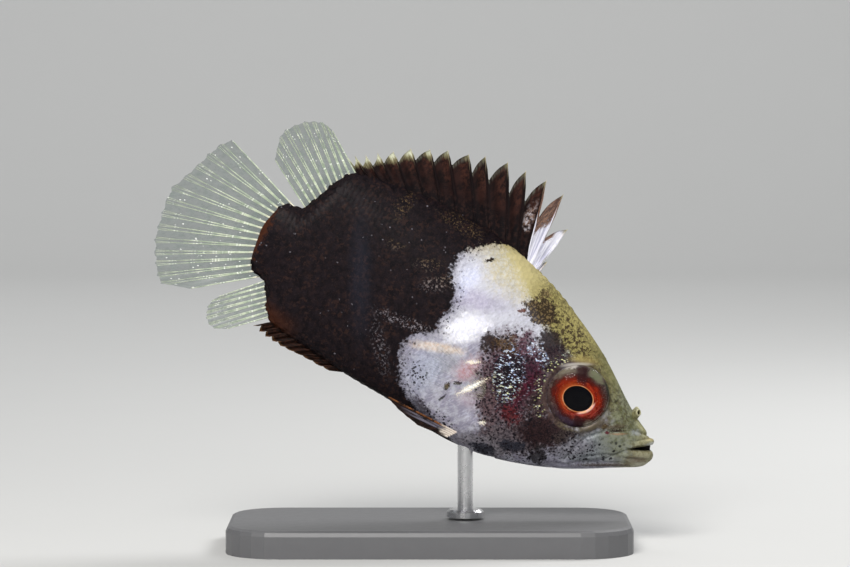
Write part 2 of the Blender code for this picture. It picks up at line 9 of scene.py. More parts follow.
import bpy
import numpy as np
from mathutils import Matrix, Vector


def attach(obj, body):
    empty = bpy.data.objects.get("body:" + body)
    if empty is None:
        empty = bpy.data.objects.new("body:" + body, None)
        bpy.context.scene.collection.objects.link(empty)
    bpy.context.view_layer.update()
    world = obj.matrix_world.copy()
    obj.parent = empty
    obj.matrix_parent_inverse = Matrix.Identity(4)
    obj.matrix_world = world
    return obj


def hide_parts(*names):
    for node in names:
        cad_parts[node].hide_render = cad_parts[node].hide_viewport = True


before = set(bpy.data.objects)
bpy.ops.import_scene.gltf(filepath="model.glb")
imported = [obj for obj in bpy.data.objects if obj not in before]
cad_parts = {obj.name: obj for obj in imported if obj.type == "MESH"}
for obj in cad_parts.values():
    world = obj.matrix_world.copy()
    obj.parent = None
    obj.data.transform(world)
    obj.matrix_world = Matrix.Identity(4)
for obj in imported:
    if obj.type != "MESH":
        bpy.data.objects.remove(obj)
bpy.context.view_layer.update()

MM = 0.001
SEED = 7

# Pose of the fish over the stand
PITCH = 28.2
SNOUT_X = 28.4
SNOUT_HEIGHT = 12.8

# Body: station, back, belly, half width, height of the widest line
STATIONS = np.array(
    (
        (-0.85, -1.05, -1.75, 0.50, -1.35),
        (-0.55, -0.45, -2.40, 1.00, -1.35),
        (0.10, 0.95, -3.00, 1.50, -1.20),
        (1.40, 1.75, -3.75, 2.05, -1.10),
        (3.40, 2.75, -4.90, 2.70, -1.00),
        (5.60, 4.15, -6.20, 3.30, -0.90),
        (8.10, 5.95, -7.50, 3.85, -0.50),
        (10.30, 7.45, -8.50, 4.15, 0.00),
        (12.70, 8.85, -9.45, 4.35, 0.20),
        (16.00, 10.50, -10.50, 4.55, 0.40),
        (20.40, 12.40, -11.35, 4.75, 0.60),
        (24.00, 13.55, -11.55, 4.85, 0.80),
        (28.00, 14.50, -11.30, 4.80, 1.00),
        (33.00, 15.10, -10.45, 4.50, 1.40),
        (38.00, 15.10, -10.25, 4.00, 1.60),
        (44.00, 14.50, -9.65, 3.20, 1.70),
        (48.50, 13.75, -9.20, 2.50, 1.60),
        (50.40, 13.20, -8.95, 2.20, 1.50),
        (51.80, 11.30, -7.90, 2.00, 1.30),
        (53.20, 7.90, -5.70, 1.75, 1.10),
        (54.30, 5.95, -4.40, 1.55, 0.90),
        (55.40, 5.85, -4.20, 1.30, 0.90),
        (56.30, 5.55, -3.70, 1.00, 1.00),
        (57.00, 4.20, -2.30, 0.65, 1.10),
        (57.40, 2.60, 0.20, 0.30, 1.40),
    )
)
SNOUT_ROUNDNESS = 0.85
BACK_SHARPNESS = 1.20
SHARP_FROM = 22.0
BELLY_ROUNDNESS = 0.95
COAT = 0.07

# Skin mesh
HEAD_STEP = 0.11
HEAD_END = 27.0
BODY_STEP = 0.16
AROUND = 240
END_CAPS = ((0.8, 0.05), (0.5, 0.10), (0.2, 0.12))

# Lines on the head, as station and height
GILL_LINE = ((23.0, 8.6), (24.6, 5.9), (26.0, 3.9), (26.3, 2.7), (25.1, 0.8), (23.4, -1.8), (21.4, -4.9),
             (19.8, -7.2), (18.0, -9.4), (16.4, -11.4))
CHEEK_LINE = ((17.6, 6.4), (16.6, 4.0), (16.2, 1.0), (15.7, -2.2), (14.8, -5.2), (12.9, -7.3), (10.2, -8.2))
MAXILLA_LINE = ((0.2, 1.5), (1.45, 1.40), (4.0, 0.9), (6.3, -0.75), (7.95, -2.35), (8.75, -4.3), (9.1, -6.4))
JAW_LINE = ((2.4, -1.4), (5.0, -4.5), (8.4, -6.8), (10.6, -8.1))
MOUTH_TOP = ((-4.0, 3.2), (0.2, 0.30), (2.4, -1.3))
MOUTH_BOTTOM = ((-4.0, 1.0), (0.05, -0.50), (2.4, -1.5))
CHIN_LINE = ((1.2, -2.9), (3.4, -3.9), (6.0, -5.4), (8.6, -6.6))
FOLDS = (
    (((6.7, -0.8), (5.9, 0.5), (4.9, 1.8)), 0.10, 0.15),
    (((7.2, 4.1), (6.2, 3.0), (5.6, 1.7)), 0.05, 0.14),
    (((9.2, 7.0), (11.4, 7.4), (14.2, 7.2), (16.4, 6.0)), 0.06, 0.16),
    (((8.4, -4.6), (10.4, -4.9), (12.6, -4.6), (14.3, -3.3)), 0.07, 0.17),
    (((3.0, -2.6), (5.2, -3.6), (7.6, -5.3)), 0.06, 0.15),
    (((17.4, -4.4), (19.4, -6.0), (20.8, -7.6)), 0.07, 0.18),
    (((17.6, 0.4), (20.4, 0.2), (23.6, 0.9)), 0.06, 0.18),
    (((18.2, 3.6), (20.6, 4.0), (23.4, 4.4)), 0.06, 0.18),
)
PORES = ((7.4, 0.4), (6.7, 1.6), (5.2, 2.9), (8.6, -2.6), (10.4, -3.6), (12.2, -3.7), (14.0, -2.9), (15.6, -1.2),
         (4.4, -3.2), (6.4, -4.4), (9.4, -7.0), (11.4, -7.6), (13.6, -6.6), (15.3, -3.9), (16.2, -0.6), (16.5, 2.4),
         (9.0, 5.6), (11.6, 7.0), (14.6, 6.6))
MOUTH_DEPTH = 1.4
LIPS = (0.95, 1.05)
LIP_RISE = 0.26
NOSTRIL_AT = (3.74, 0.95, 2.80)
NOSTRIL_RADIUS = 0.46
NOSTRIL_HOLE = 0.25
NOSTRIL_LENGTH = 1.10
NOSTRIL_LEAN = (-0.25, 1.05, 0.78)
NOSTRIL_SLANT = 0.22
NOSTRIL_SIDES = 20
# Radius, height and place in the tube's colours
NOSTRIL_PROFILE = (
    (NOSTRIL_RADIUS * 1.30, -0.3, 0.0),
    (NOSTRIL_RADIUS * 1.12, 0.35, 0.2),
    (NOSTRIL_RADIUS * 0.92, 0.85, 0.6),
    (NOSTRIL_RADIUS * 0.95, NOSTRIL_LENGTH - 0.10, 0.9),
    (NOSTRIL_RADIUS * 0.80, NOSTRIL_LENGTH, 1.0),
    (NOSTRIL_HOLE, NOSTRIL_LENGTH - 0.06, 1.2),
    (NOSTRIL_HOLE * 0.9, 0.7, 1.7),
    (0.01, 0.65, 2.0),
)
REAR_NOSTRIL = (6.6, 3.3)

# Eye
EYE_STATION = 11.55
EYE_HEIGHT = 1.65
EYE_STEPS = 96
# Outline of the ball, as radius and distance from the middle plane. It dips a little towards the pupil.
EYE_BALL = ((4.02, 2.2), (4.05, 2.9), (4.04, 3.30), (4.00, 3.56), (3.92, 3.77), (3.80, 3.94), (3.64, 4.07),
            (3.44, 4.18), (3.2, 4.26), (2.9, 4.33), (2.5, 4.38), (2.1, 4.41), (1.9, 4.40), (1.5, 4.34), (1.0, 4.30),
            (0.5, 4.28), (0.02, 4.28))
CORNEA_FOOT = (4.06, 3.30)
CORNEA_RADIUS = 4.04
CORNEA_BASE = 3.50
CORNEA_RISE = 1.67
CORNEA_ROUNDNESS = 0.92
# Skin round the eye: how far out it may stand, and how fast that grows outside a radius
ORBIT_SIDE = 3.72
ORBIT_SLOPE = 0.42
ORBIT_RADIUS = 4.0
PUPIL_OFF = (-0.08, -0.24)
PUPIL_SIZE = (1.92, 1.62)
PUPIL_TILT = -10.0
IRIS_OFF = (-0.12, -0.14)
IRIS_SIZE = (3.50, 2.75)

# Marks on the ring round the iris: centre off the eye's middle, radii, slope, strength, colour. One of them is a
# painted highlight.
RING_MARKS_AND_HIGHLIGHT = (
    ((-0.6, -3.3), (2.6, 0.8), 12, 0.85, (0.036, 0.021, 0.042)),
    ((2.9, 1.9), (1.4, 0.9), -52, 0.70, (0.200, 0.180, 0.130)),
    ((-0.8, 3.35), (1.3, 0.6), 14, 0.75, (0.170, 0.188, 0.108)),
    # Painted highlight: the cream arc along the upper rear of the ring
    ((2.3, 3.25), (1.7, 0.35), -35, 0.85, (0.52, 0.48, 0.44)),
    ((-3.0, 2.6), (1.5, 0.35), 52, 0.85, (0.030, 0.034, 0.024)),
    ((3.3, 0.0), (0.5, 0.5), 0, 0.85, (0.018, 0.020, 0.014)),
    ((3.2, -2.2), (1.6, 0.5), -125, 0.60, (0.050, 0.030, 0.030)),
)

# Coats of scales: first and last station, spacing along and across, size of a scale, lift of its rear rim
BODY_COAT = (13.0, 56.6, 0.60, 1.02, 1.15, 0.024)
CHEEK_COAT = (9.5, 26.5, 0.42, 0.72, 0.80, 0.018)
SCALE_ROWS = (-0.45, -0.05, 0.35, 0.72, 1.0)
SCALE_COLUMNS = 7
SCALE_JITTER = 0.03
BAKE_PATCH = 0.0015

# Fins, as in the solids
BACK_SPINES = (
    (23.3, 23.0, 14.9, 0.00),
    (23.8, 22.7, 19.8, 0.22),
    (24.5, 25.3, 23.5, 0.44),
    (25.3, 28.1, 24.1, 0.58),
    (26.5, 31.0, 23.9, 0.68),
    (28.3, 33.6, 23.8, 0.67),
    (30.9, 36.5, 23.1, 0.74),
    (33.2, 38.5, 22.3, 0.79),
    (35.8, 41.1, 21.5, 0.83),
    (38.1, 43.2, 20.5, 0.84),
    (40.5, 45.4, 19.4, 0.84),
    (42.7, 47.2, 18.0, 0.82),
    (44.6, 48.9, 16.9, 0.78),
    (46.3, 50.1, 15.9, 0.72),
    (47.9, 51.3, 15.2, 0.66),
    (49.2, 52.3, 14.7, 0.60),
)
SOFT_BACK_ROOT = (50.0, 53.9)
SOFT_BACK_TIPS = ((55.5, 16.8), (56.3, 17.0), (57.1, 17.1), (58.1, 16.7), (59.1, 16.1), (60.0, 15.1), (60.8, 14.0),
                  (61.0, 12.8), (60.6, 11.3), (60.2, 10.0))
TAIL_ROOT = ((56.2, 5.9), (57.3, 4.4), (57.75, 2.2), (57.7, 0.2), (57.3, -2.0), (56.6, -3.6), (55.7, -4.6))
TAIL_TIPS = ((66.3, 9.6), (67.3, 8.4), (68.1, 6.5), (68.7, 4.6), (69.3, 2.7), (70.2, 0.6), (70.1, -1.2),
             (69.8, -3.0), (69.4, -4.8), (69.0, -6.5), (68.2, -8.0), (67.5, -9.1), (66.5, -10.4), (65.6, -11.1),
             (62.0, -9.9))
BELLY_SPINES = (
    (38.4, 41.2, -10.8, 0.00),
    (39.8, 42.7, -10.85, 0.80),
    (41.2, 44.2, -10.8, 0.82),
    (42.6, 45.6, -10.8, 0.84),
    (43.9, 46.9, -10.9, 0.84),
    (45.2, 48.2, -10.95, 0.82),
    (46.5, 49.4, -10.9, 0.78),
    (47.8, 50.5, -10.8, 0.74),
    (49.0, 51.5, -10.6, 0.70),
    (50.1, 52.5, -10.3, 0.66),
)
SOFT_BELLY_ROOT = (51.3, 54.0)
SOFT_BELLY_TIPS = ((55.4, -12.3), (56.8, -13.0), (57.7, -12.9), (58.4, -12.3), (58.7, -11.7), (58.9, -10.9),
                   (58.8, -10.0), (58.3, -9.2))
PECTORAL_ROOT = ((23.2, -2.3), (22.7, -4.6))
PECTORAL_TIPS = ((29.2, 1.6), (30.5, 0.6), (31.4, -0.7), (31.8, -2.1), (31.8, -3.5), (31.3, -4.8), (30.4, -5.9),
                 (29.2, -6.7), (27.7, -7.1))
PECTORAL_SPREAD = 0.22
PELVIC_ROOT = ((23.7, -9.9), (24.1, -10.9))
PELVIC_TIPS = ((33.1, -9.9), (32.3, -10.3), (31.2, -10.7), (29.8, -11.0), (28.2, -11.3))
PELVIC_SPREAD = 0.05
TAIL_SWAY = -1.2
SOFT_BACK_SWAY = -0.8
SOFT_BELLY_SWAY = -0.6
SCALLOP = 0.018
JOINT_LENGTH = 0.40
THINNEST_RAY = 0.016
RAY_SIDES = 6
WEB_STEPS = 8
WEB_DOWN = 26
RIM_FRAY = 0.012
PLEAT = 0.05
SPINE_SIDES = 8
SPINE_SINK = 0.7
LOBE_NOTCH = 0.84
LOBE_COLUMNS = 15
LOBE_DOWN = 24
LOBE_BULGE = 0.16
FOLD = 0.20
FINE_FOLD = 0.05
SPINE_STEPS = 22

# Rods of one soft ray: where it starts and ends, its push aside at both ends in rays, and its thickness
PLAIN_RAY = ((-0.06, 0.97, 0.0, 0.0, 1.0),)
FORKED_RAY = (
    (-0.06, 0.72, 0.05, 0.14, 0.85),
    (-0.06, 0.72, -0.05, -0.14, 0.85),
    (0.70, 0.99, 0.14, 0.21, 0.55),
    (0.70, 0.985, 0.14, 0.09, 0.50),
    (0.70, 0.99, -0.14, -0.21, 0.55),
    (0.70, 0.985, -0.14, -0.09, 0.50),
)

# Edge of the dark rear half: height, and the station where the dark begins
DARK_EDGE = ((-11.9, 21.0), (-10.6, 25.6), (-9.4, 29.6), (-8.0, 32.0), (-5.6, 33.5), (-3.7, 34.3), (-1.8, 34.0),
             (-0.4, 32.2), (0.6, 31.4), (2.4, 31.6), (4.0, 31.3), (5.4, 31.4), (7.6, 33.1), (9.0, 33.4),
             (10.3, 33.2), (11.6, 32.6), (13.1, 31.0), (14.2, 28.6), (15.2, 25.6))

# How far the olive of the forehead reaches down from the back: station, depth
OLIVE_DEPTH = ((0.0, 1.6), (5.0, 3.4), (9.0, 4.0), (13.0, 4.4), (17.0, 4.9), (21.0, 4.3), (25.0, 2.7), (29.0, 0.8))

# Marks: station, height, two radii, slope of the first, raggedness, edge, strength, two colours in thousandths, and
# the noise that mixes them
GRAIN, SPECK, NET = range(3)
SMALL_MARK = 0.65
PALE_MARKS_AND_HIGHLIGHT = (
    (7.0, -3.2, 5.2, 2.6, -28, 0.4, 0.4, 0.95, 125, 140, 150, 225, 242, 255, SPECK),
    (29.6, 6.1, 4.4, 1.2, -18, 0.4, 0.6, 0.75, 330, 300, 420, 450, 420, 530, SPECK),
    # Painted highlight: the near-white glare on the flank behind the gill cover
    (28.6, 2.5, 3.2, 1.8, -38, 0.4, 0.5, 1.0, 800, 800, 900, 920, 910, 940, SPECK),
    # Painted highlight: the bluish-white spread of that glare up towards the back
    (31.0, 8.6, 1.3, 3.0, 10, 0.4, 0.6, 0.6, 500, 530, 720, 660, 680, 810, SPECK),
    (25.9, 12.4, 5.6, 3.3, 12, 0.5, 0.6, 0.85, 580, 500, 270, 640, 610, 500, SPECK),
    (30.6, -1.4, 3.2, 0.6, -20, 0.6, 0.5, 0.75, 700, 520, 360, 800, 700, 600, SPECK),
    (25.6, -1.7, 2.0, 1.2, -63, 0.8, 0.55, 0.8, 460, 220, 230, 560, 400, 460, SPECK),
    (28.8, -2.6, 1.8, 1.3, -20, 0.4, 0.6, 0.6, 260, 270, 290, 360, 360, 410, SPECK),
    (23.4, -5.0, 1.8, 1.2, -28, 0.6, 0.6, 0.55, 400, 280, 320, 500, 420, 480, SPECK),
    (30.6, -4.8, 2.2, 3.0, 0, 0.5, 0.6, 0.6, 300, 330, 420, 440, 470, 600, SPECK),
)
WASHES = (
    (20.1, -1.3, 4.4, 6.9, -28, 0.5, 0.3, 0.92, 52, 28, 32, 140, 88, 96, SPECK),
    (16.5, -7.0, 5.2, 2.6, -24, 0.5, 0.3, 0.92, 36, 27, 31, 120, 96, 104, SPECK),
    (16.8, 1.5, 2.2, 4.2, -28, 0.4, 0.3, 0.92, 40, 24, 30, 110, 72, 78, SPECK),
    (13.4, -4.4, 3.8, 2.7, -28, 0.5, 0.3, 0.92, 30, 18, 20, 88, 58, 60, SPECK),
    (19.4, -9.9, 3.8, 1.3, -10, 0.5, 0.4, 0.75, 120, 110, 125, 230, 210, 230, SPECK),
    (9.2, -4.6, 2.7, 1.3, -38, 0.5, 0.5, 0.75, 120, 112, 135, 225, 215, 250, SPECK),
    (8.5, -1.6, 2.2, 0.7, -47, 0.4, 0.5, 0.9, 28, 23, 23, 82, 70, 66, SPECK),
    (7.9, -0.3, 1.7, 0.8, -50, 0.6, 0.5, 0.7, 50, 32, 24, 120, 92, 62, SPECK),
)
GILL_MARKS = (
    (24.7, 2.5, 1.3, 1.3, 0, 0.9, 0.25, 0.95, 10, 7, 8, 40, 22, 16, GRAIN),
    (22.6, 3.3, 1.7, 1.3, 0, 0.9, 0.35, 0.85, 34, 20, 14, 130, 80, 36, GRAIN),
    (20.5, 4.4, 1.4, 1.6, 0, 0.8, 0.45, 0.8, 50, 22, 34, 135, 66, 88, SPECK),
    (20.6, -0.1, 2.4, 3.2, -20, 0.7, 0.25, 0.96, 6, 5, 8, 26, 13, 19, SPECK),
    (17.6, 1.2, 1.5, 3.2, -28, 0.7, 0.4, 0.85, 15, 6, 12, 75, 24, 42, GRAIN),
    (15.3, -2.3, 1.7, 2.9, -28, 0.6, 0.3, 0.95, 16, 10, 12, 70, 40, 42, GRAIN),
    (14.9, -4.9, 2.2, 1.9, -28, 0.6, 0.3, 0.9, 10, 7, 9, 42, 24, 26, GRAIN),
    (18.2, -1.5, 0.8, 3.5, 10, 0.9, 0.5, 0.8, 26, 4, 8, 85, 12, 25, SPECK),
    (18.1, -4.5, 1.3, 1.1, 0, 0.9, 0.5, 0.85, 40, 5, 7, 110, 16, 18, SPECK),
    (21.4, -4.6, 1.2, 3.6, -28, 0.7, 0.4, 0.75, 40, 24, 28, 115, 70, 75, SPECK),
)
DARK_MARKS_AND_SHADE = (
    (20.7, 8.9, 1.9, 2.5, -83, 0.8, 0.15, 0.95, 20, 12, 10, 125, 86, 40, NET),
    (21.4, 11.1, 0.7, 0.6, 0, 0.9, 0.3, 0.85, 40, 24, 14, 150, 105, 50, NET),
    (17.6, 6.0, 2.2, 1.5, 14, 0.8, 0.25, 0.96, 8, 6, 8, 34, 21, 20, GRAIN),
    (15.7, 5.2, 1.9, 1.1, 7, 0.7, 0.35, 0.93, 7, 5, 10, 34, 19, 20, GRAIN),
    (16.6, 4.1, 1.5, 1.5, 0, 0.6, 0.3, 0.95, 10, 7, 12, 52, 32, 36, GRAIN),
    (13.2, -4.4, 3.1, 2.2, -28, 0.8, 0.25, 0.96, 8, 5, 6, 32, 15, 16, GRAIN),
    (10.6, -3.4, 2.0, 0.9, -46, 0.8, 0.45, 0.85, 12, 9, 10, 60, 44, 40, GRAIN),
    (16.0, -7.9, 1.9, 0.9, -18, 0.9, 0.35, 0.92, 6, 7, 12, 30, 32, 45, GRAIN),
    (19.2, -10.3, 1.9, 0.8, -13, 0.9, 0.35, 0.92, 6, 7, 12, 30, 32, 45, GRAIN),
    (12.4, -7.5, 1.2, 1.5, -28, 1.0, 0.35, 0.92, 7, 7, 9, 30, 25, 26, GRAIN),
    (28.6, -9.6, 3.0, 1.1, 10, 1.0, 0.35, 0.92, 7, 7, 11, 55, 42, 52, GRAIN),
    (29.7, 11.7, 0.6, 0.2, -40, 0.2, 0.25, 1.0, 10, 6, 5, 30, 16, 10, GRAIN),
    (23.1, 7.9, 0.5, 0.22, -28, 0.2, 0.25, 0.9, 80, 22, 16, 150, 50, 30, GRAIN),
    (27.0, -5.1, 0.36, 0.5, 0, 0.2, 0.3, 0.95, 20, 13, 8, 110, 70, 22, GRAIN),
    (26.0, -4.1, 0.5, 0.24, -28, 0.2, 0.3, 0.95, 14, 8, 8, 40, 18, 12, GRAIN),
    (26.8, -6.7, 0.6, 0.16, -70, 0.2, 0.3, 0.9, 10, 8, 8, 24, 18, 14, GRAIN),
    (6.0, -0.7, 0.28, 0.18, -28, 0.2, 0.35, 0.95, 60, 6, 12, 85, 10, 18, GRAIN),
    # Painted shade: dark line in the notch at the front of the upper jaw
    (1.6, 1.4, 0.5, 0.12, -18, 0.2, 0.5, 0.85, 16, 12, 8, 30, 24, 14, GRAIN),
    (5.4, 0.35, 1.4, 0.36, -33, 0.5, 0.6, 0.75, 40, 24, 16, 100, 70, 45, GRAIN),
    # Painted shade: black line in the groove along the upper jaw
    (4.9, 0.1, 0.95, 0.14, -30, 0.2, 0.4, 0.95, 10, 6, 5, 30, 16, 10, GRAIN),
    (4.6, -0.18, 0.85, 0.13, -28, 0.2, 0.6, 0.7, 240, 130, 70, 340, 215, 125, GRAIN),
    (6.6, -0.1, 0.5, 0.3, -48, 0.4, 0.4, 0.85, 40, 24, 10, 90, 60, 25, GRAIN),
    (4.2, -4.75, 3.4, 0.2, -28, 0.3, 0.5, 0.8, 50, 30, 24, 120, 85, 60, GRAIN),
    # Painted shade: the dark recess of the mouth under the upper lip
    (1.3, -0.45, 1.1, 0.28, -36, 0.3, 0.5, 0.8, 30, 26, 14, 70, 62, 30, GRAIN),
)
GLINTS = (
    (24.2, -3.7, 1.7, 0.32, -56, 0.2, 0.5, 0.95, 1000, 860, 620, 1000, 990, 980, GRAIN),
    (24.25, -3.75, 1.2, 0.16, -56, 0.2, 0.6, 0.95, 1000, 980, 950, 1000, 1000, 1000, GRAIN),
    (25.6, -0.8, 0.8, 0.24, -28, 0.4, 0.5, 0.85, 980, 880, 660, 970, 950, 980, GRAIN),
    (20.8, -7.2, 0.4, 0.26, -28, 0.3, 0.4, 0.85, 950, 850, 660, 960, 930, 900, SPECK),
    (0.4, 1.1, 0.6, 0.22, -28, 0.2, 0.8, 0.45, 400, 300, 120, 520, 420, 200, SPECK),
    (0.2, 0.55, 0.6, 0.16, -36, 0.2, 0.8, 0.5, 460, 480, 520, 580, 600, 640, SPECK),
    (2.1, 1.8, 1.3, 0.32, 27, 0.2, 0.7, 0.6, 300, 280, 130, 440, 420, 240, SPECK),
    (2.6, 1.0, 0.7, 0.35, -28, 0.3, 0.6, 0.5, 280, 310, 340, 380, 400, 440, SPECK),
    (0.2, -2.6, 1.1, 0.35, -34, 0.2, 0.6, 0.55, 340, 340, 270, 460, 450, 360, SPECK),
)

# Ovals on the flank: station, height, two radii, slope, edge, strength where it isn't whole
MOTTLED = ((16.0, 8.2, 3.4, 1.7, 30, 0.4), (13.0, 6.6, 3.2, 1.3, 25, 0.4), (19.0, 11.0, 4.0, 1.2, 30, 0.6, 0.5),
           (6.5, 3.0, 2.8, 1.6, 30, 0.6, 0.6))
HALO = ((19.0, -1.4, 5.4, 8.0, -28, 0.1), (13.4, -4.8, 4.6, 3.4, -28, 0.2), (16.3, -9.0, 5.8, 2.2, -18, 0.2),
        (27.2, -9.6, 4.4, 1.3, 8, 0.3), (31.6, -6.2, 2.0, 2.6, -28, 0.3), (8.7, -4.9, 3.6, 1.7, -28, 0.4))
SHINY = ((20.8, 0.0, 1.8, 3.6, -20, 0.3), (18.8, 4.2, 0.9, 1.9, -53, 0.3))
CHIPPED = ((42.7, 12.6, 1.8, 0.8, -85, 0.6, 0.85), (35.0, 14.0, 3.2, 0.8, 0, 0.6, 0.65),
           (41.4, 7.7, 1.1, 0.5, -20, 0.6, 0.5), (36.4, 7.6, 1.6, 0.7, -30, 0.6, 0.8), (34.2, 6.0, 1.9, 0.9, -40, 0.6),
           (35.6, -0.4, 3.7, 0.65, -6, 0.5), (36.8, -4.8, 3.4, 0.8, 50, 0.6, 0.6))

# Cover of the fin skin: below the first it thins out, and the second is its full strength
FAINT_WEB = 0.2
FULL_WEB = 0.42

rng = np.random.default_rng(SEED)


# Geometry helpers


class Curve:
    """A smooth line through measured sizes that never swings past them."""

    def __init__(self, places, sizes):
        self.p = np.asarray(places, float)
        self.v = np.asarray(sizes, float)
        step = np.diff(self.v) / np.diff(self.p)
        same = step[:-1] * step[1:] > 0
        total = np.where(same, step[:-1] + step[1:], 1.0)
        inner = np.where(same, 2 * step[:-1] * step[1:] / total, 0.0)
        self.m = np.concatenate([step[:1], inner, step[-1:]])

    def __call__(self, x):
        x = np.clip(np.asarray(x, float), self.p[0], self.p[-1])
        i = np.clip(np.searchsorted(self.p, x) - 1, 0, len(self.p) - 2)
        run = self.p[i + 1] - self.p[i]
        t = (x - self.p[i]) / run
        return (
            self.v[i] * (1 + 2 * t) * (1 - t) ** 2
            + self.m[i] * run * t * (1 - t) ** 2
            + self.v[i + 1] * t * t * (3 - 2 * t)
            + self.m[i + 1] * run * t * t * (t - 1)
        )


BACK, BELLY, HALF_WIDTH, WIDEST = (Curve(STATIONS[:, 0], STATIONS[:, k]) for k in range(1, 5))


def to_world(points):
    """Metres in the row frame from station, side and height in millimetres."""
    points = np.asarray(points, float)
    s, side, h = points[..., 0], points[..., 1], points[..., 2]
    cos, sin = math.cos(math.radians(PITCH)), math.sin(math.radians(PITCH))
    x = SNOUT_X - s * cos + h * sin
    z = SNOUT_HEIGHT + s * sin + h * cos
    return np.stack([x, side, z], -1) * MM


def smooth(low, high, x):
    """0 below low, 1 above high, and smooth between."""
    t = np.clip((x - low) / (high - low), 0.0, 1.0)
    return t * t * (3 - 2 * t)


def bump(x, width):
    """1 at zero, falling off over the width."""
    return np.exp(-((x / width) ** 2))


def line_distance(s, h, line):
    """Distance to a line of points, which side of it a point is on, and how far along it the nearest place lies."""
    best = np.full(s.shape, 1e9)
    side = np.zeros(s.shape)
    share = np.zeros(s.shape)
    count = len(line) - 1
    for k, ((s0, h0), (s1, h1)) in enumerate(zip(line, line[1:])):
        ds, dh = s1 - s0, h1 - h0
        t = np.clip(((s - s0) * ds + (h - h0) * dh) / (ds * ds + dh * dh), 0, 1)
        away = np.hypot(s - s0 - t * ds, h - h0 - t * dh)
        near = away < best
        best = np.where(near, away, best)
        cross = ds * (h - h0) - dh * (s - s0)
        side = np.where(near, np.sign(cross), side)
        share = np.where(near, (k + t) / count, share)
    return best, side, share


def sharpness(s, above):
    """How far the body's section is drawn to a ridge, above and below its widest line."""
    part = np.clip(s / SHARP_FROM, 0.0, 1.0)
    return np.where(above, SNOUT_ROUNDNESS + (BACK_SHARPNESS - SNOUT_ROUNDNESS) * part, BELLY_ROUNDNESS)


def flank(s, h):
    """Half width of the body at a station and a height."""
    s, h = np.asarray(s, float), np.asarray(h, float)
    middle = WIDEST(s)
    above = h > middle
    reach = np.where(above, BACK(s) - middle, middle - BELLY(s))
    part = np.clip(np.abs(h - middle) / reach, 0.0, 1.0)
    return HALF_WIDTH(s) * (1 - part * part) ** (sharpness(s, above) / 2)


def new_mesh(name, verts, faces, attributes=None, looks=None):
    """A mesh object from points in the fish frame. Faces is one array, or a list of arrays with one face size each."""
    faces = faces if isinstance(faces, list) else [faces]
    faces = [np.asarray(f, np.int32) for f in faces if len(f)]
    mesh = bpy.data.meshes.new(name)
    world = to_world(verts)
    mesh.vertices.add(len(world))
    mesh.vertices.foreach_set("co", world.astype(np.float32).ravel())
    corners = np.concatenate([f.ravel() for f in faces])
    sizes = np.concatenate([np.full(len(f), f.shape[1], np.int32) for f in faces])
    mesh.loops.add(len(corners))
    mesh.loops.foreach_set("vertex_index", corners)
    mesh.polygons.add(len(sizes))
    starts = np.concatenate([[0], np.cumsum(sizes)[:-1]]).astype(np.int32)
    mesh.polygons.foreach_set("loop_start", starts)
    mesh.update(calc_edges=True)
    mesh.validate()
    mesh.shade_smooth()
    for key, values in (attributes or {}).items():
        values = np.asarray(values, np.float32)
        kind = "FLOAT_VECTOR" if values.ndim == 2 else "FLOAT"
        made = mesh.attributes.new(key, kind, "POINT")
        made.data.foreach_set("vector" if values.ndim == 2 else "value", values.ravel())
    obj = bpy.data.objects.new(name, mesh)
    bpy.context.scene.collection.objects.link(obj)
    if looks is not None:
        mesh.materials.append(looks)
    return obj


def grid_faces(rows, columns, wrap=False):
    """Quads of a grid whose points run along columns first."""
    r = np.arange(rows - 1)[:, None] * columns
    last = columns if wrap else columns - 1
    c = np.arange(last)[None, :]
    n = (c + 1) % columns
    return np.stack([r + c, r + n, r + columns + n, r + columns + c], -1).reshape(-1, 4)


def outward(points):
    """Unit normals of a grid of points that closes round the body, facing out of it."""
    round_body = (np.roll(points, -1, axis=1) - np.roll(points, 1, axis=1)) / 2
    normal = np.cross(round_body, np.gradient(points, axis=0))
    normal = normal / np.maximum(np.linalg.norm(normal, axis=-1, keepdims=True), 1e-9)
    return -normal if normal[len(points) // 2, AROUND // 4, 1] < 0 else normal


# Skin


def mouth_edges(s):
    """Heights of the upper and the lower edge of the mouth."""
    return np.interp(s, *zip(*MOUTH_TOP)), np.interp(s, *zip(*MOUTH_BOTTOM))


def middle_part(share, start=(0.0, 0.2), end=(0.8, 1.0)):
    """1 along a line, fading out at both of its ends."""
    return smooth(*start, share) * (1 - smooth(*end, share))


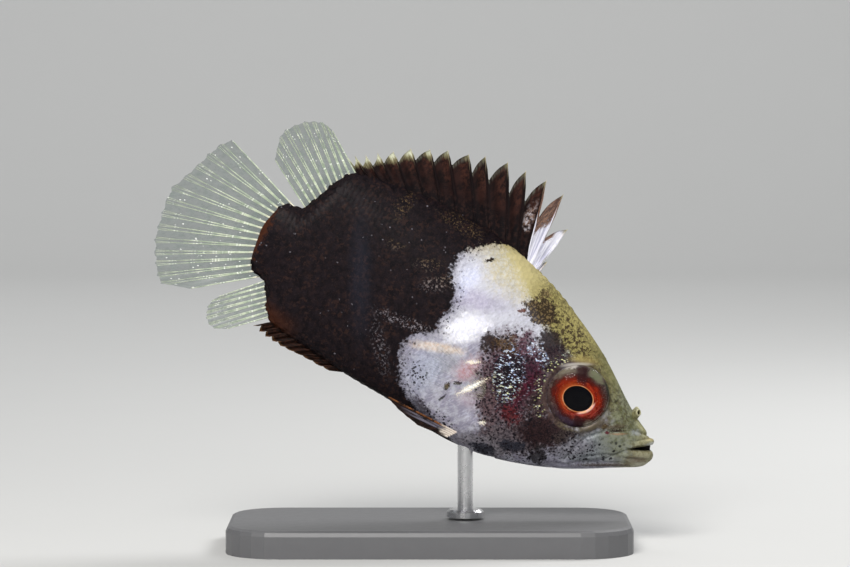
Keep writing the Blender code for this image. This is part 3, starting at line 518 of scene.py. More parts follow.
def relief(s, side, h, normal):
    """How far the skin stands out from, or in from, the plain body."""
    out = np.zeros(s.shape)
    top, bottom = mouth_edges(s)
    inside = np.minimum(top - h, h - bottom)
    slit = smooth(-0.03, 0.16, inside) * (1 - smooth(1.9, 2.6, s))
    room = 0.85 * np.abs(side) / np.maximum(np.abs(normal[..., 1]), 0.25)
    out -= np.minimum(MOUTH_DEPTH, np.maximum(room, 0.2)) * slit

    near_mouth = 1 - smooth(1.8, 3.4, s)
    for edge, thick in zip((h - top, bottom - h), LIPS):
        part = np.clip(edge / thick, 0, 1)
        lip = np.sqrt(np.maximum(1 - (2 * part - 1) ** 2, 0)) * (edge > 0) * (edge < thick)
        out += LIP_RISE * lip * near_mouth
        out -= 0.10 * bump(edge - thick - 0.12, 0.16) * near_mouth

    away, which, _ = line_distance(s, h, MAXILLA_LINE)
    out -= (0.20 + 0.14 * (1 - smooth(1.0, 2.4, s))) * bump(away, 0.17)
    plate = (which < 0) & (s < 9.4) & (s > 2.0)
    out += 0.10 * smooth(0.1, 0.5, away) * bump(np.maximum(away - 0.5, 0), 1.2) * plate
    away, _, _ = line_distance(s, h, JAW_LINE)
    out -= 0.22 * bump(away, 0.17) * smooth(2.0, 3.0, s)
    away, _, share = line_distance(s, h, CHIN_LINE)
    out -= 0.16 * bump(away, 0.15) * middle_part(share, (0.0, 0.15), (0.85, 1.0))

    for line, depth, width in FOLDS:
        away, _, share = line_distance(s, h, line)
        ends = middle_part(share)
        out -= depth * bump(away, width) * ends
        out += 0.45 * depth * bump(away - 2 * width, width) * ends
    for pore in PORES:
        out -= 0.09 * bump(np.hypot(s - pore[0], h - pore[1]), 0.17)

    radius = np.hypot(s - EYE_STATION, h - EYE_HEIGHT)
    wide = ORBIT_SIDE + ORBIT_SLOPE * np.maximum(radius - ORBIT_RADIUS, 0)
    out -= np.maximum(np.abs(side) - wide, 0) * (radius < 7)
    out -= 1.6 * (1 - smooth(3.62, 3.86, radius))
    out += 0.05 * bump(radius - 4.40, 0.22)
    out -= 0.05 * bump(radius - 4.85, 0.20)

    away, which, share = line_distance(s, h, GILL_LINE)
    ends = middle_part(share, (0.14, 0.36), (0.9, 1.0))
    out += np.where(which < 0, 0.13 * bump(away, 1.1), -0.20 * bump(away, 0.8)) * ends * (s > 14)
    away, _, share = line_distance(s, h, CHEEK_LINE)
    ends = middle_part(share)
    out -= 0.12 * bump(away, 0.20) * ends
    out += 0.05 * bump(away - 0.5, 0.35) * ends

    pit = np.hypot(s - REAR_NOSTRIL[0], h - REAR_NOSTRIL[1])
    out -= 0.32 * bump(pit, 0.24)
    out += 0.06 * bump(pit - 0.42, 0.16)
    return out


def skin_grid():
    """The skin as a grid: its points, their outward directions and their places on the plain body."""
    first, last = STATIONS[0, 0], STATIONS[-1, 0]
    stations = np.concatenate([np.arange(first, HEAD_END, HEAD_STEP), np.arange(HEAD_END, last, BODY_STEP), [last]])
    turn = -math.pi / 2 + 2 * math.pi * np.arange(AROUND) / AROUND
    s, t = np.meshgrid(stations, turn, indexing="ij")
    lift = np.sin(t)
    middle = WIDEST(s)
    reach = np.where(lift > 0, BACK(s) - middle, middle - BELLY(s))
    across = np.abs(np.cos(t)) ** sharpness(s, lift > 0) * np.sign(np.cos(t))
    across[:, [0, AROUND // 2]] = 0.0
    place = np.stack([s, HALF_WIDTH(s) * across, middle + reach * lift], -1)
    normal = outward(place)
    out = relief(place[..., 0], place[..., 1], place[..., 2], normal) - COAT
    points = place + normal * out[..., None]
    return stations, points, outward(points), place


def build_skin(points, place, looks):
    """One closed skin: the grid, with a rounded cap at each end."""
    caps = []
    for end, sign in ((0, -1), (-1, 1)):
        centre = points[end].mean(0)
        rings = [centre + (points[end] - centre) * share + (sign * ahead, 0, 0) for share, ahead in END_CAPS]
        caps.append(np.array(rings)[::sign])
    whole, where = (np.concatenate([caps[0], rows, caps[1]]) for rows in (points, place))
    count = len(whole)
    quads = grid_faces(count, AROUND, wrap=True)
    front = np.arange(AROUND)[None, ::-1]
    rear = (np.arange(AROUND) + (count - 1) * AROUND)[None, :]
    faces = [quads[:, ::-1], front[:, ::-1], rear[:, ::-1]]
    return new_mesh("skin", whole.reshape(-1, 3), faces, {"place": where.reshape(-1, 3)}, looks)


# Scales


class Surface:
    """Looks up points, directions and places on the skin grid at a station and a share of the way round."""

    def __init__(self, stations, points, normal, place):
        self.stations = stations
        self.layers = np.concatenate([points, normal, place], -1)

    def __call__(self, s, turn):
        row = np.interp(s, self.stations, np.arange(len(self.stations)))
        column = np.mod(turn, 1.0) * AROUND
        r0 = np.clip(np.floor(row).astype(int), 0, len(self.stations) - 2)
        c0 = np.floor(column).astype(int) % AROUND
        fr, fc = (row - r0)[:, None], (column - np.floor(column))[:, None]
        c1 = (c0 + 1) % AROUND
        at = self.layers
        low = at[r0, c0] * (1 - fc) + at[r0, c1] * fc
        high = at[r0 + 1, c0] * (1 - fc) + at[r0 + 1, c1] * fc
        both = low * (1 - fr) + high * fr
        return both[:, 0:3], both[:, 3:6], both[:, 6:9]


def scale_roots(surface, coat, inside):
    """Where scales grow: staggered columns from the belly to the back on both sides."""
    first, last, run, rise = coat[:4]
    roots = []
    fine = np.linspace(0.0, 0.5, 160)
    for k, s in enumerate(np.arange(first, last, run)):
        for side in (0, 1):
            turns = fine if side == 0 else 1.0 - fine
            at, _, _ = surface(np.full(len(turns), s), turns)
            length = np.concatenate([[0], np.cumsum(np.linalg.norm(np.diff(at, axis=0), axis=1))])
            count = max(int(round(length[-1] / rise)), 2)
            marks = (np.arange(count) + (0.5 if k % 2 else 0.0)) / count * length[-1]
            marks = marks + rng.normal(0, SCALE_JITTER, count)
            turn = np.interp(marks, length, turns)
            roots.append(np.stack([np.full(count, s) + rng.normal(0, SCALE_JITTER, count), turn], 1))
    roots = np.concatenate(roots)
    _, _, place = surface(roots[:, 0], roots[:, 1])
    return roots[inside(place[:, 0], place[:, 2])]


def build_scales(name, surface, roots, coat, looks):
    """A coat of thin rounded plates, each with its root sunk in the skin and its rear rim lifted a little."""
    at, normal, place = surface(roots[:, 0], roots[:, 1])
    behind, _, _ = surface(roots[:, 0] + 0.3, roots[:, 1])
    back = behind - at
    back -= normal * np.sum(back * normal, 1, keepdims=True)
    back /= np.linalg.norm(back, axis=1, keepdims=True)
    across = np.cross(normal, back)
    across_up = np.where(across[:, 2:3] < 0, -across, across)
    size, lift = coat[4:]
    grid_a, grid_b = np.meshgrid(SCALE_ROWS, np.linspace(-1, 1, SCALE_COLUMNS), indexing="ij")
    along = size * (grid_a * 0.62 - 0.22 * np.maximum(grid_a, 0) * grid_b**2)
    wide = size / 2 * grid_b * (1 - 0.12 * np.maximum(grid_a, 0) ** 2)
    raised = -0.05 + (0.05 + lift) * smooth(-0.4, 0.3, grid_a) - 0.020 * grid_b**2
    grow = rng.uniform(0.92, 1.06, len(at))[:, None, None]
    along, wide, raised = along * grow, wide * grow, raised * np.ones_like(grow)
    verts = (
        at[:, None, None]
        + back[:, None, None] * along[..., None]
        + across_up[:, None, None] * wide[..., None]
        + normal[:, None, None] * raised[..., None]
    )
    count, per = len(at), grid_a.size
    one = grid_faces(*grid_a.shape)
    faces = (one[None] + (np.arange(count) * per)[:, None, None]).reshape(-1, 4)
    where = place[:, None, None] + np.stack([along, np.zeros_like(along), wide], -1)
    tone = np.repeat(rng.random(count), per)
    rim = np.tile(np.maximum(smooth(0.3, 1.0, grid_a), smooth(0.6, 1.0, np.abs(grid_b)) * 0.8).ravel(), count)
    attributes = {"place": where.reshape(-1, 3), "tone": tone, "rim": rim}
    obj = new_mesh(name, verts.reshape(-1, 3), faces, attributes, looks)
    u = 0.01 + 0.98 * (roots[:, 0] + 1) / 60
    v = 0.01 + 0.98 * np.mod(roots[:, 1], 1.0)
    spots = ((u, grid_a), (v, grid_b))
    uv = np.stack([(at[:, None, None] + BAKE_PATCH * grid).reshape(-1) for at, grid in spots], -1)
    layer = obj.data.uv_layers.new(name="OFBake")
    corner = np.empty(len(obj.data.loops), np.int32)
    obj.data.loops.foreach_get("vertex_index", corner)
    layer.data.foreach_set("uv", uv[corner].astype(np.float32).ravel())
    return obj


# Fins


def rim_point(edge, s, off):
    """A point off the ridge of the back or the belly, square to it."""
    step = 0.05
    run = np.array([2 * step, float(edge(s + step) - edge(s - step))])
    run /= np.linalg.norm(run)
    out = np.array([-run[1], run[0]]) if edge is BACK else np.array([run[1], -run[0]])
    return np.array([s, float(edge(s))]) + out * off


def along(line, share):
    """The point at a share of a line's length."""
    line = np.asarray(line, float)
    length = np.concatenate([[0], np.cumsum(np.linalg.norm(np.diff(line, axis=0), axis=1))])
    at = share * length[-1]
    return np.array([np.interp(at, length, line[:, 0]), np.interp(at, length, line[:, 1])])


def tube(path, radius, sides):
    """Points and faces of a tapered rod along a path."""
    path = np.asarray(path, float)
    ahead = np.gradient(path, axis=0)
    ahead /= np.linalg.norm(ahead, axis=1, keepdims=True)
    lateral = np.tile(np.array([0.0, 1.0, 0.0]), (len(path), 1))
    lateral -= ahead * np.sum(lateral * ahead, 1, keepdims=True)
    lateral /= np.linalg.norm(lateral, axis=1, keepdims=True)
    inplane = np.cross(ahead, lateral)
    angle = 2 * math.pi * np.arange(sides) / sides
    ring = lateral[:, None] * np.cos(angle)[None, :, None] + inplane[:, None] * np.sin(angle)[None, :, None]
    verts = path[:, None] + ring * np.asarray(radius)[:, None, None]
    return verts.reshape(-1, 3), grid_faces(len(path), sides, wrap=True)


class Bundle:
    """Collects rods and sheets into one mesh."""

    def __init__(self):
        self.verts, self.faces, self.data = [], [], {}
        self.count = 0

    def add(self, verts, faces, **data):
        self.verts.append(verts)
        self.faces.append(np.asarray(faces) + self.count)
        self.count += len(verts)
        for key, values in data.items():
            self.data.setdefault(key, []).append(np.broadcast_to(values, (len(verts),) + np.shape(values)[1:]))

    def mesh(self, name, looks):
        data = {key: np.concatenate(values) for key, values in self.data.items()}
        return new_mesh(name, np.concatenate(self.verts), np.concatenate(self.faces), data, looks)


def fan_fin(name, roots, tips, place, looks, ray=0.10, branch=True):
    """A soft fin: jointed rays that fork towards the rim, and the clear membrane that they carry."""
    ray_looks, web_looks = looks
    tips = np.asarray(tips, float)
    count = len(tips)

    def spot(u, v):
        """A place on the fin: u counts rays, v runs from the root to the rim."""
        u = np.clip(u, 0, count - 1)
        root = roots(u / (count - 1))
        i = min(int(u), count - 2)
        f = u - i
        tip = tips[i] * (1 - f) + tips[i + 1] * f
        scallop = 1 - SCALLOP * 4 * f * (1 - f)
        flat = root + (tip - root) * v * scallop
        part = np.clip(v, 0, 1)
        return np.array([flat[0], place(flat[0], flat[1], part), flat[1]])

    rays = Bundle()
    for k in range(count):
        forked = branch and 0 < k < count - 1
        for v0, v1, start, to, thick in FORKED_RAY if forked else PLAIN_RAY:
            length = np.linalg.norm(spot(k, 1.0) - spot(k, 0.0))
            steps = max(int((v1 - v0) * length / JOINT_LENGTH * 4), 6)
            v = np.linspace(v0, v1, steps)
            swing = start + (to - start) * smooth(0, 1, (v - v0) / (v1 - v0))
            path = np.array([spot(k + w, x) for w, x in zip(swing, v)])
            beat = np.abs(np.sin(math.pi * v * length / JOINT_LENGTH)) ** 8
            beat = beat * smooth(0.05, 0.2, v)
            taper = ray * thick * (1.15 - 0.55 * np.clip(v, 0, 1))
            radius = np.maximum(taper * (1 + 0.25 * beat), THINNEST_RAY)
            verts, faces = tube(path, radius, RAY_SIDES)
            rays.add(verts, faces, fin=np.repeat(np.stack([v * 0 + k, v, beat], 1), RAY_SIDES, axis=0))
    ray_obj = rays.mesh(name + "_rays", ray_looks)

    u = np.linspace(0, count - 1, (count - 1) * WEB_STEPS + 1)
    v = np.linspace(-0.05, 1.0, WEB_DOWN)
    fray = 1 - RIM_FRAY * rng.random(len(u))
    sheet = np.array([[spot(a, b * (f if b > 0.5 else 1.0)) for a, f in zip(u, fray)] for b in v])
    sheet[..., 1] += PLEAT * np.cos(2 * math.pi * u)[None, :] * np.clip(v, 0, 1)[:, None]
    fin = np.stack(np.broadcast_arrays(u[None, :], v[:, None], (u % 1.0)[None, :]), -1)
    faces = grid_faces(len(v), len(u))
    return [ray_obj, new_mesh(name + "_web", sheet.reshape(-1, 3), faces, {"fin": fin.reshape(-1, 3)}, web_looks)]


def lobe(root, tip, next_root, next_tip, share):
    """One lobe of a spiny fin as columns of root, margin and place between this spine and the next."""
    low = next_root + (next_tip - next_root) * share - np.array([0.22, 0.0])
    high = root + (tip - root) * 0.99
    front = next_root + (next_tip - next_root) * 0.97
    columns = []
    for w in np.linspace(0, 1, LOBE_COLUMNS):
        if w <= LOBE_NOTCH:
            x = w / LOBE_NOTCH
            bulge = LOBE_BULGE * math.sin(math.pi * x) * np.linalg.norm(high - low)
            margin = high + (low - high) * x
            square = np.array([low[1] - high[1], high[0] - low[0]])
            square = square / max(np.linalg.norm(square), 1e-6)
            margin = margin + square * bulge * (1 if square[1] > 0 or square[0] > 0 else -1) * 0.5
        else:
            x = (w - LOBE_NOTCH) / (1 - LOBE_NOTCH)
            margin = low + (front - low) * x - np.array([0.14 * math.sin(math.pi * x), 0.0])
        columns.append((root * (1 - w) + next_root * w, margin, w))
    return columns


def spiny_fin(name, edge, spines, looks, spine=0.24, thick=0.16, deeper=1.0):
    """A spiny fin: a stiff spine in each lobe, and folded skin that falls from its tip to the next spine."""
    spine_looks, web_looks = looks
    count = len(spines)
    roots = [rim_point(edge, row[0], -SPINE_SINK) for row in spines]
    tips = [np.array(row[1:3]) for row in spines]
    columns, keys = [], []
    for k in range(count - 1):
        made = lobe(roots[k], tips[k], roots[k + 1], tips[k + 1], spines[k + 1][3] * deeper)
        columns += [(root, margin) for root, margin, _ in made]
        keys += [(k, w) for _, _, w in made]
    v = np.linspace(0, 1, LOBE_DOWN)
    root = np.array([c[0] for c in columns])
    margin = np.array([c[1] for c in columns])
    flat = root[None] * (1 - v)[:, None, None] + margin[None] * v[:, None, None]
    keys = np.array(keys, float)
    fold = FOLD * np.cos(math.pi * keys[:, 1])
    fold += FINE_FOLD * np.sin(3 * math.pi * keys[:, 1] + keys[:, 0])
    lateral = fold[None, :] * smooth(0.0, 0.4, v)[:, None]
    thin = thick * (1 - 0.6 * v)[:, None] / 2 * np.ones_like(lateral)
    fin = np.stack(np.broadcast_arrays(keys[None, :, 0], v[:, None], keys[None, :, 1]), -1)
    own = np.array([tips[int(k)] for k in keys[:, 0]])
    ahead = np.array([tips[int(k) + 1] for k in keys[:, 0]])
    from_tip = np.minimum(
        np.linalg.norm(flat - own[None], axis=-1), np.linalg.norm(flat - ahead[None], axis=-1)
    ).reshape(-1)
    bundle = Bundle()
    for side in (-1, 1):
        sheet = np.stack([flat[..., 0], lateral + side * thin, flat[..., 1]], -1)
        quads = grid_faces(LOBE_DOWN, len(columns))[:, ::side]
        points = sheet.reshape(-1, 3)
        bundle.add(points, quads, fin=fin.reshape(-1, 3), tip=from_tip, place=points)
    number = np.arange(LOBE_DOWN * len(columns)).reshape(LOBE_DOWN, -1)
    ring = [number[0], number[-1], number[:, 0], number[:, -1]]
    size = number.size
    seams = [(p, q, q + size, p + size) for line in ring for p, q in zip(line, line[1:])]
    bundle.faces.append(np.array(seams))
    web = bundle.mesh(name + "_web", web_looks)
    spikes = Bundle()
    for k in range(count):
        v = np.linspace(0, 1.0, SPINE_STEPS)
        path = roots[k] * (1 - v)[:, None] + tips[k] * v[:, None]
        path = np.stack([path[:, 0], np.zeros(SPINE_STEPS), path[:, 1]], 1)
        length = np.linalg.norm(tips[k] - roots[k])
        radius = spine * min(1.0, 0.45 + length / 14) * np.maximum(1 - 0.86 * v**1.3, 0.1)
        verts, faces = tube(path, radius, SPINE_SIDES)
        fin = np.repeat(np.stack([v * 0 + k, v, v * 0], 1), SPINE_SIDES, axis=0)
        spikes.add(verts, faces, fin=fin, tip=np.repeat((1 - v) * length, SPINE_SIDES), place=verts)
    return [spikes.mesh(name + "_spines", spine_looks), web]


def upright(bend):
    """Places a middle fin, bent to one side towards its rim."""
    return lambda s, h, part: bend * part * part


def beside(side, spread, root):
    """Places a paired fin against the flank, opening outwards from its root."""

    def place(s, h, part):
        off = float(flank(s, h)) + 0.55
        off_root = float(flank(*root)) + 0.25
        away = spread * max(s - root[0], 0.0)
        grown = off_root + away + 0.35 * part
        return side * max(off if part > 0.12 else off - 0.3, grown)

    return place


# Materials


class Graph:
    """Short names for building a material's nodes."""

    def __init__(self, name, base=None):
        self.material = base.copy() if base else bpy.data.materials.new(name)
        self.material.name = name
        self.material.use_nodes = True
        self.tree = self.material.node_tree
        self.shader = self.tree.nodes["Principled BSDF"]

    def node(self, kind, **settings):
        made = self.tree.nodes.new(kind)
        for key, value in settings.items():
            setattr(made, key, value)
        return made

    def put(self, socket, value):
        if isinstance(value, bpy.types.NodeSocket):
            self.tree.links.new(value, socket)
        elif value is not None:
            if isinstance(value, tuple) and len(value) == 3 and socket.type == "RGBA":
                value = (*value, 1.0)
            socket.default_value = value

    def attribute(self, name, vector=True):
        made = self.node("ShaderNodeAttribute", attribute_name=name)
        return made.outputs["Vector" if vector else "Fac"]

    def math(self, operation, a, b=None, c=None, clamp=False):
        made = self.node("ShaderNodeMath", operation=operation, use_clamp=clamp)
        for socket, value in zip(made.inputs, (a, b, c)):
            self.put(socket, value)
        return made.outputs[0]

    def vector(self, operation, a, b=None, scale=None):
        made = self.node("ShaderNodeVectorMath", operation=operation)
        self.put(made.inputs[0], a)
        self.put(made.inputs[1], b)
        if scale is not None:
            self.put(made.inputs["Scale"], scale)
        return made.outputs["Vector"]

    def split(self, vector):
        made = self.node("ShaderNodeSeparateXYZ")
        self.put(made.inputs[0], vector)
        return made.outputs

    def join(self, x, y, z):
        made = self.node("ShaderNodeCombineXYZ")
        for socket, value in zip(made.inputs, (x, y, z)):
            self.put(socket, value)
        return made.outputs[0]

    def noise(self, vector, scale, detail=2.0, roughness=0.5, output="Fac"):
        made = self.node("ShaderNodeTexNoise")
        for key, value in (("Vector", vector), ("Scale", scale), ("Detail", detail), ("Roughness", roughness)):
            self.put(made.inputs[key], value)
        return made.outputs[output]

    def drift(self, vector, scale, roughness, size):
        """A push in all three directions, by up to half of size."""
        parts = self.node("ShaderNodeSeparateColor")
        self.put(parts.inputs[0], self.noise(vector, scale, 3, roughness, "Color"))
        return self.join(*(self.muladd(part, size, -size / 2) for part in parts.outputs))

    def cells(self, vector, scale, feature="F1"):
        made = self.node("ShaderNodeTexVoronoi", feature=feature)
        self.put(made.inputs["Vector"], vector)
        self.put(made.inputs["Scale"], scale)
        return made.outputs["Distance"]

    def soft(self, value, low, high):
        """0 below low, 1 above high, and smooth between. Low may be the larger."""
        made = self.node("ShaderNodeMapRange", interpolation_type="SMOOTHSTEP")
        ends = (high, low, 1.0, 0.0) if low > high else (low, high, 0.0, 1.0)
        for key, size in zip(("Value", "From Min", "From Max", "To Min", "To Max"), (value, *ends)):
            self.put(made.inputs[key], size)
        return made.outputs["Result"]

    def mix(self, share, a, b):
        made = self.node("ShaderNodeMix", data_type="RGBA")
        self.put(made.inputs["Factor"], share)
        for socket, value in zip((s for s in made.inputs if s.type == "RGBA"), (a, b)):
            self.put(socket, value)
        return next(s for s in made.outputs if s.type == "RGBA")

    def curve(self, value, points, x_range, y_range):
        """A drawn line from one size to another."""
        (x0, x1), (y0, y1) = x_range, y_range
        scaled = self.math("DIVIDE", self.minus(value, x0), x1 - x0)
        made = self.node("ShaderNodeFloatCurve")
        spots = made.mapping.curves[0].points
        ends = [((x - x0) / (x1 - x0), (y - y0) / (y1 - y0)) for x, y in points]
        spots[0].location, spots[1].location = ends[0], ends[-1]
        for spot in ends[1:-1]:
            spots.new(*spot)
        made.mapping.update()
        self.put(made.inputs["Value"], scaled)
        return self.muladd(made.outputs[0], y1 - y0, y0)

    def along(self, place, slope, squeeze):
        """The place with sizes along one slope of the flank squeezed, so that a pattern runs that way."""
        s, _, h = self.split(place)
        cos, sin = math.cos(math.radians(slope)), math.sin(math.radians(slope))
        a = self.muladd(s, cos * squeeze, self.times(h, sin * squeeze))
        b = self.muladd(s, -sin, self.times(h, cos))
        return self.join(a, self.split(place)[1], b)

    def blob(self, flat, centre, radii, turn, edge, rough=None):
        """1 inside an oval on the flank, 0 outside. Turn is the slope of its first radius, in degrees."""
        s, h = flat
        cos, sin = math.cos(math.radians(turn)), math.sin(math.radians(turn))
        ds = self.minus(s, centre[0])
        dh = self.minus(h, centre[1])
        a = self.muladd(ds, cos / radii[0], self.times(dh, sin / radii[0]))
        b = self.muladd(ds, -sin / radii[1], self.times(dh, cos / radii[1]))
        far = self.far(a, b)
        if rough is not None:
            far = self.plus(far, rough)
        return self.soft(far, 1 + edge, 1 - edge)

    def most(self, *masks):
        """The largest of the masks at each place."""
        result = masks[0]
        for mask in masks[1:]:
            result = self.math("MAXIMUM", result, mask)
        return result

    def plus(self, a, b):
        return self.math("ADD", a, b)

    def minus(self, a, b, clamp=False):
        return self.math("SUBTRACT", a, b, clamp=clamp)

    def times(self, a, b):
        return self.math("MULTIPLY", a, b)

    def muladd(self, a, b, c):
        return self.math("MULTIPLY_ADD", a, b, c)

    def size(self, a):
        return self.math("ABSOLUTE", a)

    def far(self, a, b):
        """How far a place is from the middle."""
        return self.math("SQRT", self.plus(self.times(a, a), self.times(b, b)))

    def pushed(self, value, noise, by):
        """The value, pushed up or down by a noise."""
        return self.muladd(self.minus(noise, 0.5), by, value)

    def less(self, a, b):
        """a, but not where b is."""
        return self.times(a, self.minus(1.0, b, clamp=True))

    def over(self, colour, mask, share, tint):
        """The tint over a colour, by a share of the mask."""
        return self.mix(self.times(mask, share), colour, tint)

    def two(self, noise, low, high, first, second):
        """Two colours in the patches of a noise."""
        return self.mix(self.soft(noise, low, high), first, second)

    def done(self, colour, rough, specular=None, alpha=None, metallic=None):
        """Puts the sizes into the shader, and gives the material."""
        values = (("Base Color", colour), ("Roughness", rough), ("Specular IOR Level", specular), ("Alpha", alpha),
                  ("Metallic", metallic))
        for key, value in values:
            self.put(self.shader.inputs[key], value)
        return self.material


def skin_material(name):
    """The fish's markings, laid out by place on the body."""
    g = Graph(name)
    place = g.attribute("place")
    tight = g.drift(place, 2.1, 0.6, 1.0)
    moved = g.vector("ADD", g.vector("ADD", place, g.drift(place, 0.42, 0.55, 1.3)), tight)
    parts = g.split(moved)
    exact = g.split(place)
    jitter = g.vector("ADD", place, g.vector("SCALE", tight, scale=0.35))
    grain = g.noise(jitter, 5.5, 4, 0.65)
    speck = g.noise(jitter, 3.1, 3, 0.6)
    blotch = g.noise(jitter, 1.15, 3, 0.6)
    # The small pull of the grain frays each edge. It also keeps the shader small: Cycles then works the marks out one
    # after the other.
    flat = tuple(g.muladd(grain, 0.03, parts[k]) for k in (0, 2))
    here = tuple(g.muladd(grain, 0.03, exact[k]) for k in (0, 2))
    net = g.times(g.cells(jitter, 1.9, feature="DISTANCE_TO_EDGE"), 3.0)
    noises = (grain, speck, net)
    ragged = g.muladd(g.noise(jitter, 1.5, 5, 0.68), 2.0, -1.0)
    dither = g.muladd(g.cells(jitter, 2.5), 0.75, -0.28)
    crumbled = g.muladd(grain, 4.0, -2.0)
    back_line = [(row[0], row[1]) for row in STATIONS[2::2]]
    depth = g.minus(g.curve(exact[0], back_line, (0.0, 58.0), (0.0, 16.0)), exact[2])

    def mark(colour, row, frayed=1.0):
        """Lays one mark of two mixed colours over what is there. Small marks stay in place and crumble at the rim."""
        turn, rough, edge, share = row[4:8]
        small = min(row[2:4]) < SMALL_MARK
        edges = g.muladd(crumbled if small else dither, frayed, g.times(ragged, rough))
        mask = g.blob(here if small else flat, row[0:2], row[2:4], turn, edge, edges)
        low, high = (tuple(c / 1000 for c in row[k : k + 3]) for k in (8, 11))
        return g.over(colour, mask, share, g.two(noises[row[14]], 0.40, 0.60, low, high)), mask

    def ovals(rows):
        masks = [g.blob(flat, row[0:2], row[2:4], *row[4:6]) for row in rows]
        return g.most(*(g.times(mask, *row[6:]) if row[6:] else mask for mask, row in zip(masks, rows)))

    def scatter(at, scale, rim, patches, ends):
        """Small dots, in patches."""
        return g.times(g.soft(g.cells(at, scale), *rim), g.soft(g.noise(place, patches, 2), *ends))

    # Silver flank
    high = g.soft(g.muladd(ragged, 2.5, exact[2]), 1.0, 6.0)
    light = g.most(g.times(g.soft(blotch, 0.38, 0.64), 0.65), high)
    colour = g.mix(light, (0.29, 0.275, 0.35), (0.55, 0.55, 0.61))
    hairs = g.noise(g.along(place, -63, 0.22), 4.2, 3, 0.6)
    colour = g.over(colour, g.soft(hairs, 0.50, 0.66), 0.35, (0.66, 0.66, 0.80))
    colour = g.over(colour, g.soft(hairs, 0.48, 0.36), 0.30, (0.30, 0.28, 0.36))
    # Pale marks on the flank; two of them are a painted highlight
    for row in PALE_MARKS_AND_HIGHLIGHT:
        colour, _ = mark(colour, row, 0.3)

    # Olive forehead, snout and lips
    reach = g.curve(exact[0], OLIVE_DEPTH, (0.0, 30.0), (0.0, 6.0))
    olive = g.soft(g.minus(g.muladd(ragged, 1.5, depth), reach), 0.9, -0.9)
    tan = g.two(speck, 0.38, 0.62, (0.150, 0.125, 0.030), (0.305, 0.262, 0.078))
    front = g.two(blotch, 0.36, 0.64, (0.098, 0.090, 0.022), (0.192, 0.182, 0.060))
    front = g.over(front, g.soft(speck, 0.45, 0.62), 0.35, (0.110, 0.085, 0.030))
    tan = g.mix(g.soft(exact[0], 14.5, 9.5), tan, front)
    tan = g.mix(g.soft(exact[0], 20.0, 26.0), tan, (0.52, 0.45, 0.22))
    tan = g.over(tan, g.soft(grain, 0.56, 0.66), 0.35, (0.42, 0.38, 0.14))
    colour = g.over(colour, olive, 0.96, tan)
    # The snout: a duller, darker olive, partly its own colour and partly painted shade
    snout = g.times(g.soft(g.muladd(ragged, 3.0, exact[0]), 9.5, 5.5), g.soft(depth, 9.0, 4.5))
    dull_and_shade = g.two(blotch, 0.36, 0.60, (0.096, 0.100, 0.046), (0.196, 0.208, 0.140))
    dull_and_shade = g.over(dull_and_shade, g.soft(speck, 0.48, 0.62), 0.45, (0.098, 0.106, 0.094))
    dull_and_shade = g.over(dull_and_shade, g.soft(speck, 0.42, 0.34), 0.45, (0.085, 0.062, 0.028))
    colour = g.over(colour, snout, 0.85, dull_and_shade)
    lips = g.times(g.soft(g.muladd(ragged, 1.5, exact[0]), 3.0, 1.2), g.soft(exact[2], 1.7, 1.2))
    lip_tint = g.two(blotch, 0.40, 0.60, (0.180, 0.158, 0.088), (0.290, 0.275, 0.170))
    lip_tint = g.over(lip_tint, g.blob(here, (1.0, -2.2), (1.1, 0.5), -30, 0.8), 0.6, (0.130, 0.085, 0.075))
    colour = g.over(colour, lips, 0.8, lip_tint)
    veins = g.times(g.soft(g.noise(jitter, 2.0, 3, 0.6), 0.495, 0.55), ovals(MOTTLED))
    colour = g.over(colour, veins, 0.9, (0.034, 0.020, 0.014))

    # Gill cover and cheek
    for row in WASHES:
        colour, _ = mark(colour, row, 0.35)
    cover = g.blob(flat, (20.0, -0.4), (3.7, 5.9), -28, 0.12, g.muladd(ragged, 0.5, dither))
    colour = g.over(colour, cover, 0.92, g.two(speck, 0.40, 0.60, (0.010, 0.0055, 0.0085), (0.056, 0.021, 0.031)))
    dark_near = g.most(cover, g.blob(flat, (17.0, -3.0), (7.2, 7.2), 0, 0.2))
    for row in GILL_MARKS:
        colour, _ = mark(colour, row, 0.6)
    # Dark marks, with painted shade in the jaw's notch and groove and in the mouth's recess
    for row in DARK_MARKS_AND_SHADE:
        colour, mask = mark(colour, row, 0.7)
        dark_near = g.most(dark_near, g.times(mask, row[7]))
    halo = ovals(HALO)
    fine_dots = scatter(jitter, 2.3, (0.38, 0.28), 1.4, (0.34, 0.48))
    colour = g.over(colour, g.times(fine_dots, halo), 0.94, (0.009, 0.006, 0.009))
    dots = scatter(jitter, 1.35, (0.29, 0.21), 0.9, (0.40, 0.50))
    dotted = g.most(halo, g.blob(flat, (5.6, -3.4), (3.6, 1.8), -28, 0.4))
    colour = g.over(colour, g.times(dots, dotted), 0.95, (0.008, 0.006, 0.009))
    slanted = g.along(place, -20, 0.5)
    spark = scatter(slanted, 3.8, (0.38, 0.26), 2.4, (0.45, 0.52))
    spark = g.most(spark, g.times(g.soft(g.noise(slanted, 3.6, 3, 0.6), 0.575, 0.62), 0.9))
    glow = g.two(grain, 0.42, 0.58, (0.34, 0.46, 0.78), (0.86, 0.93, 1.0))
    glow = g.mix(g.times(g.soft(speck, 0.46, 0.56), g.soft(exact[2], 0.5, -1.5)), glow, (0.66, 0.68, 0.36))
    colour = g.mix(g.times(spark, ovals(SHINY)), colour, glow)
    faint = g.times(g.times(g.soft(g.cells(slanted, 3.0), 0.30, 0.20), cover), g.soft(speck, 0.45, 0.55))
    colour = g.over(colour, faint, 0.6, (0.26, 0.24, 0.30))

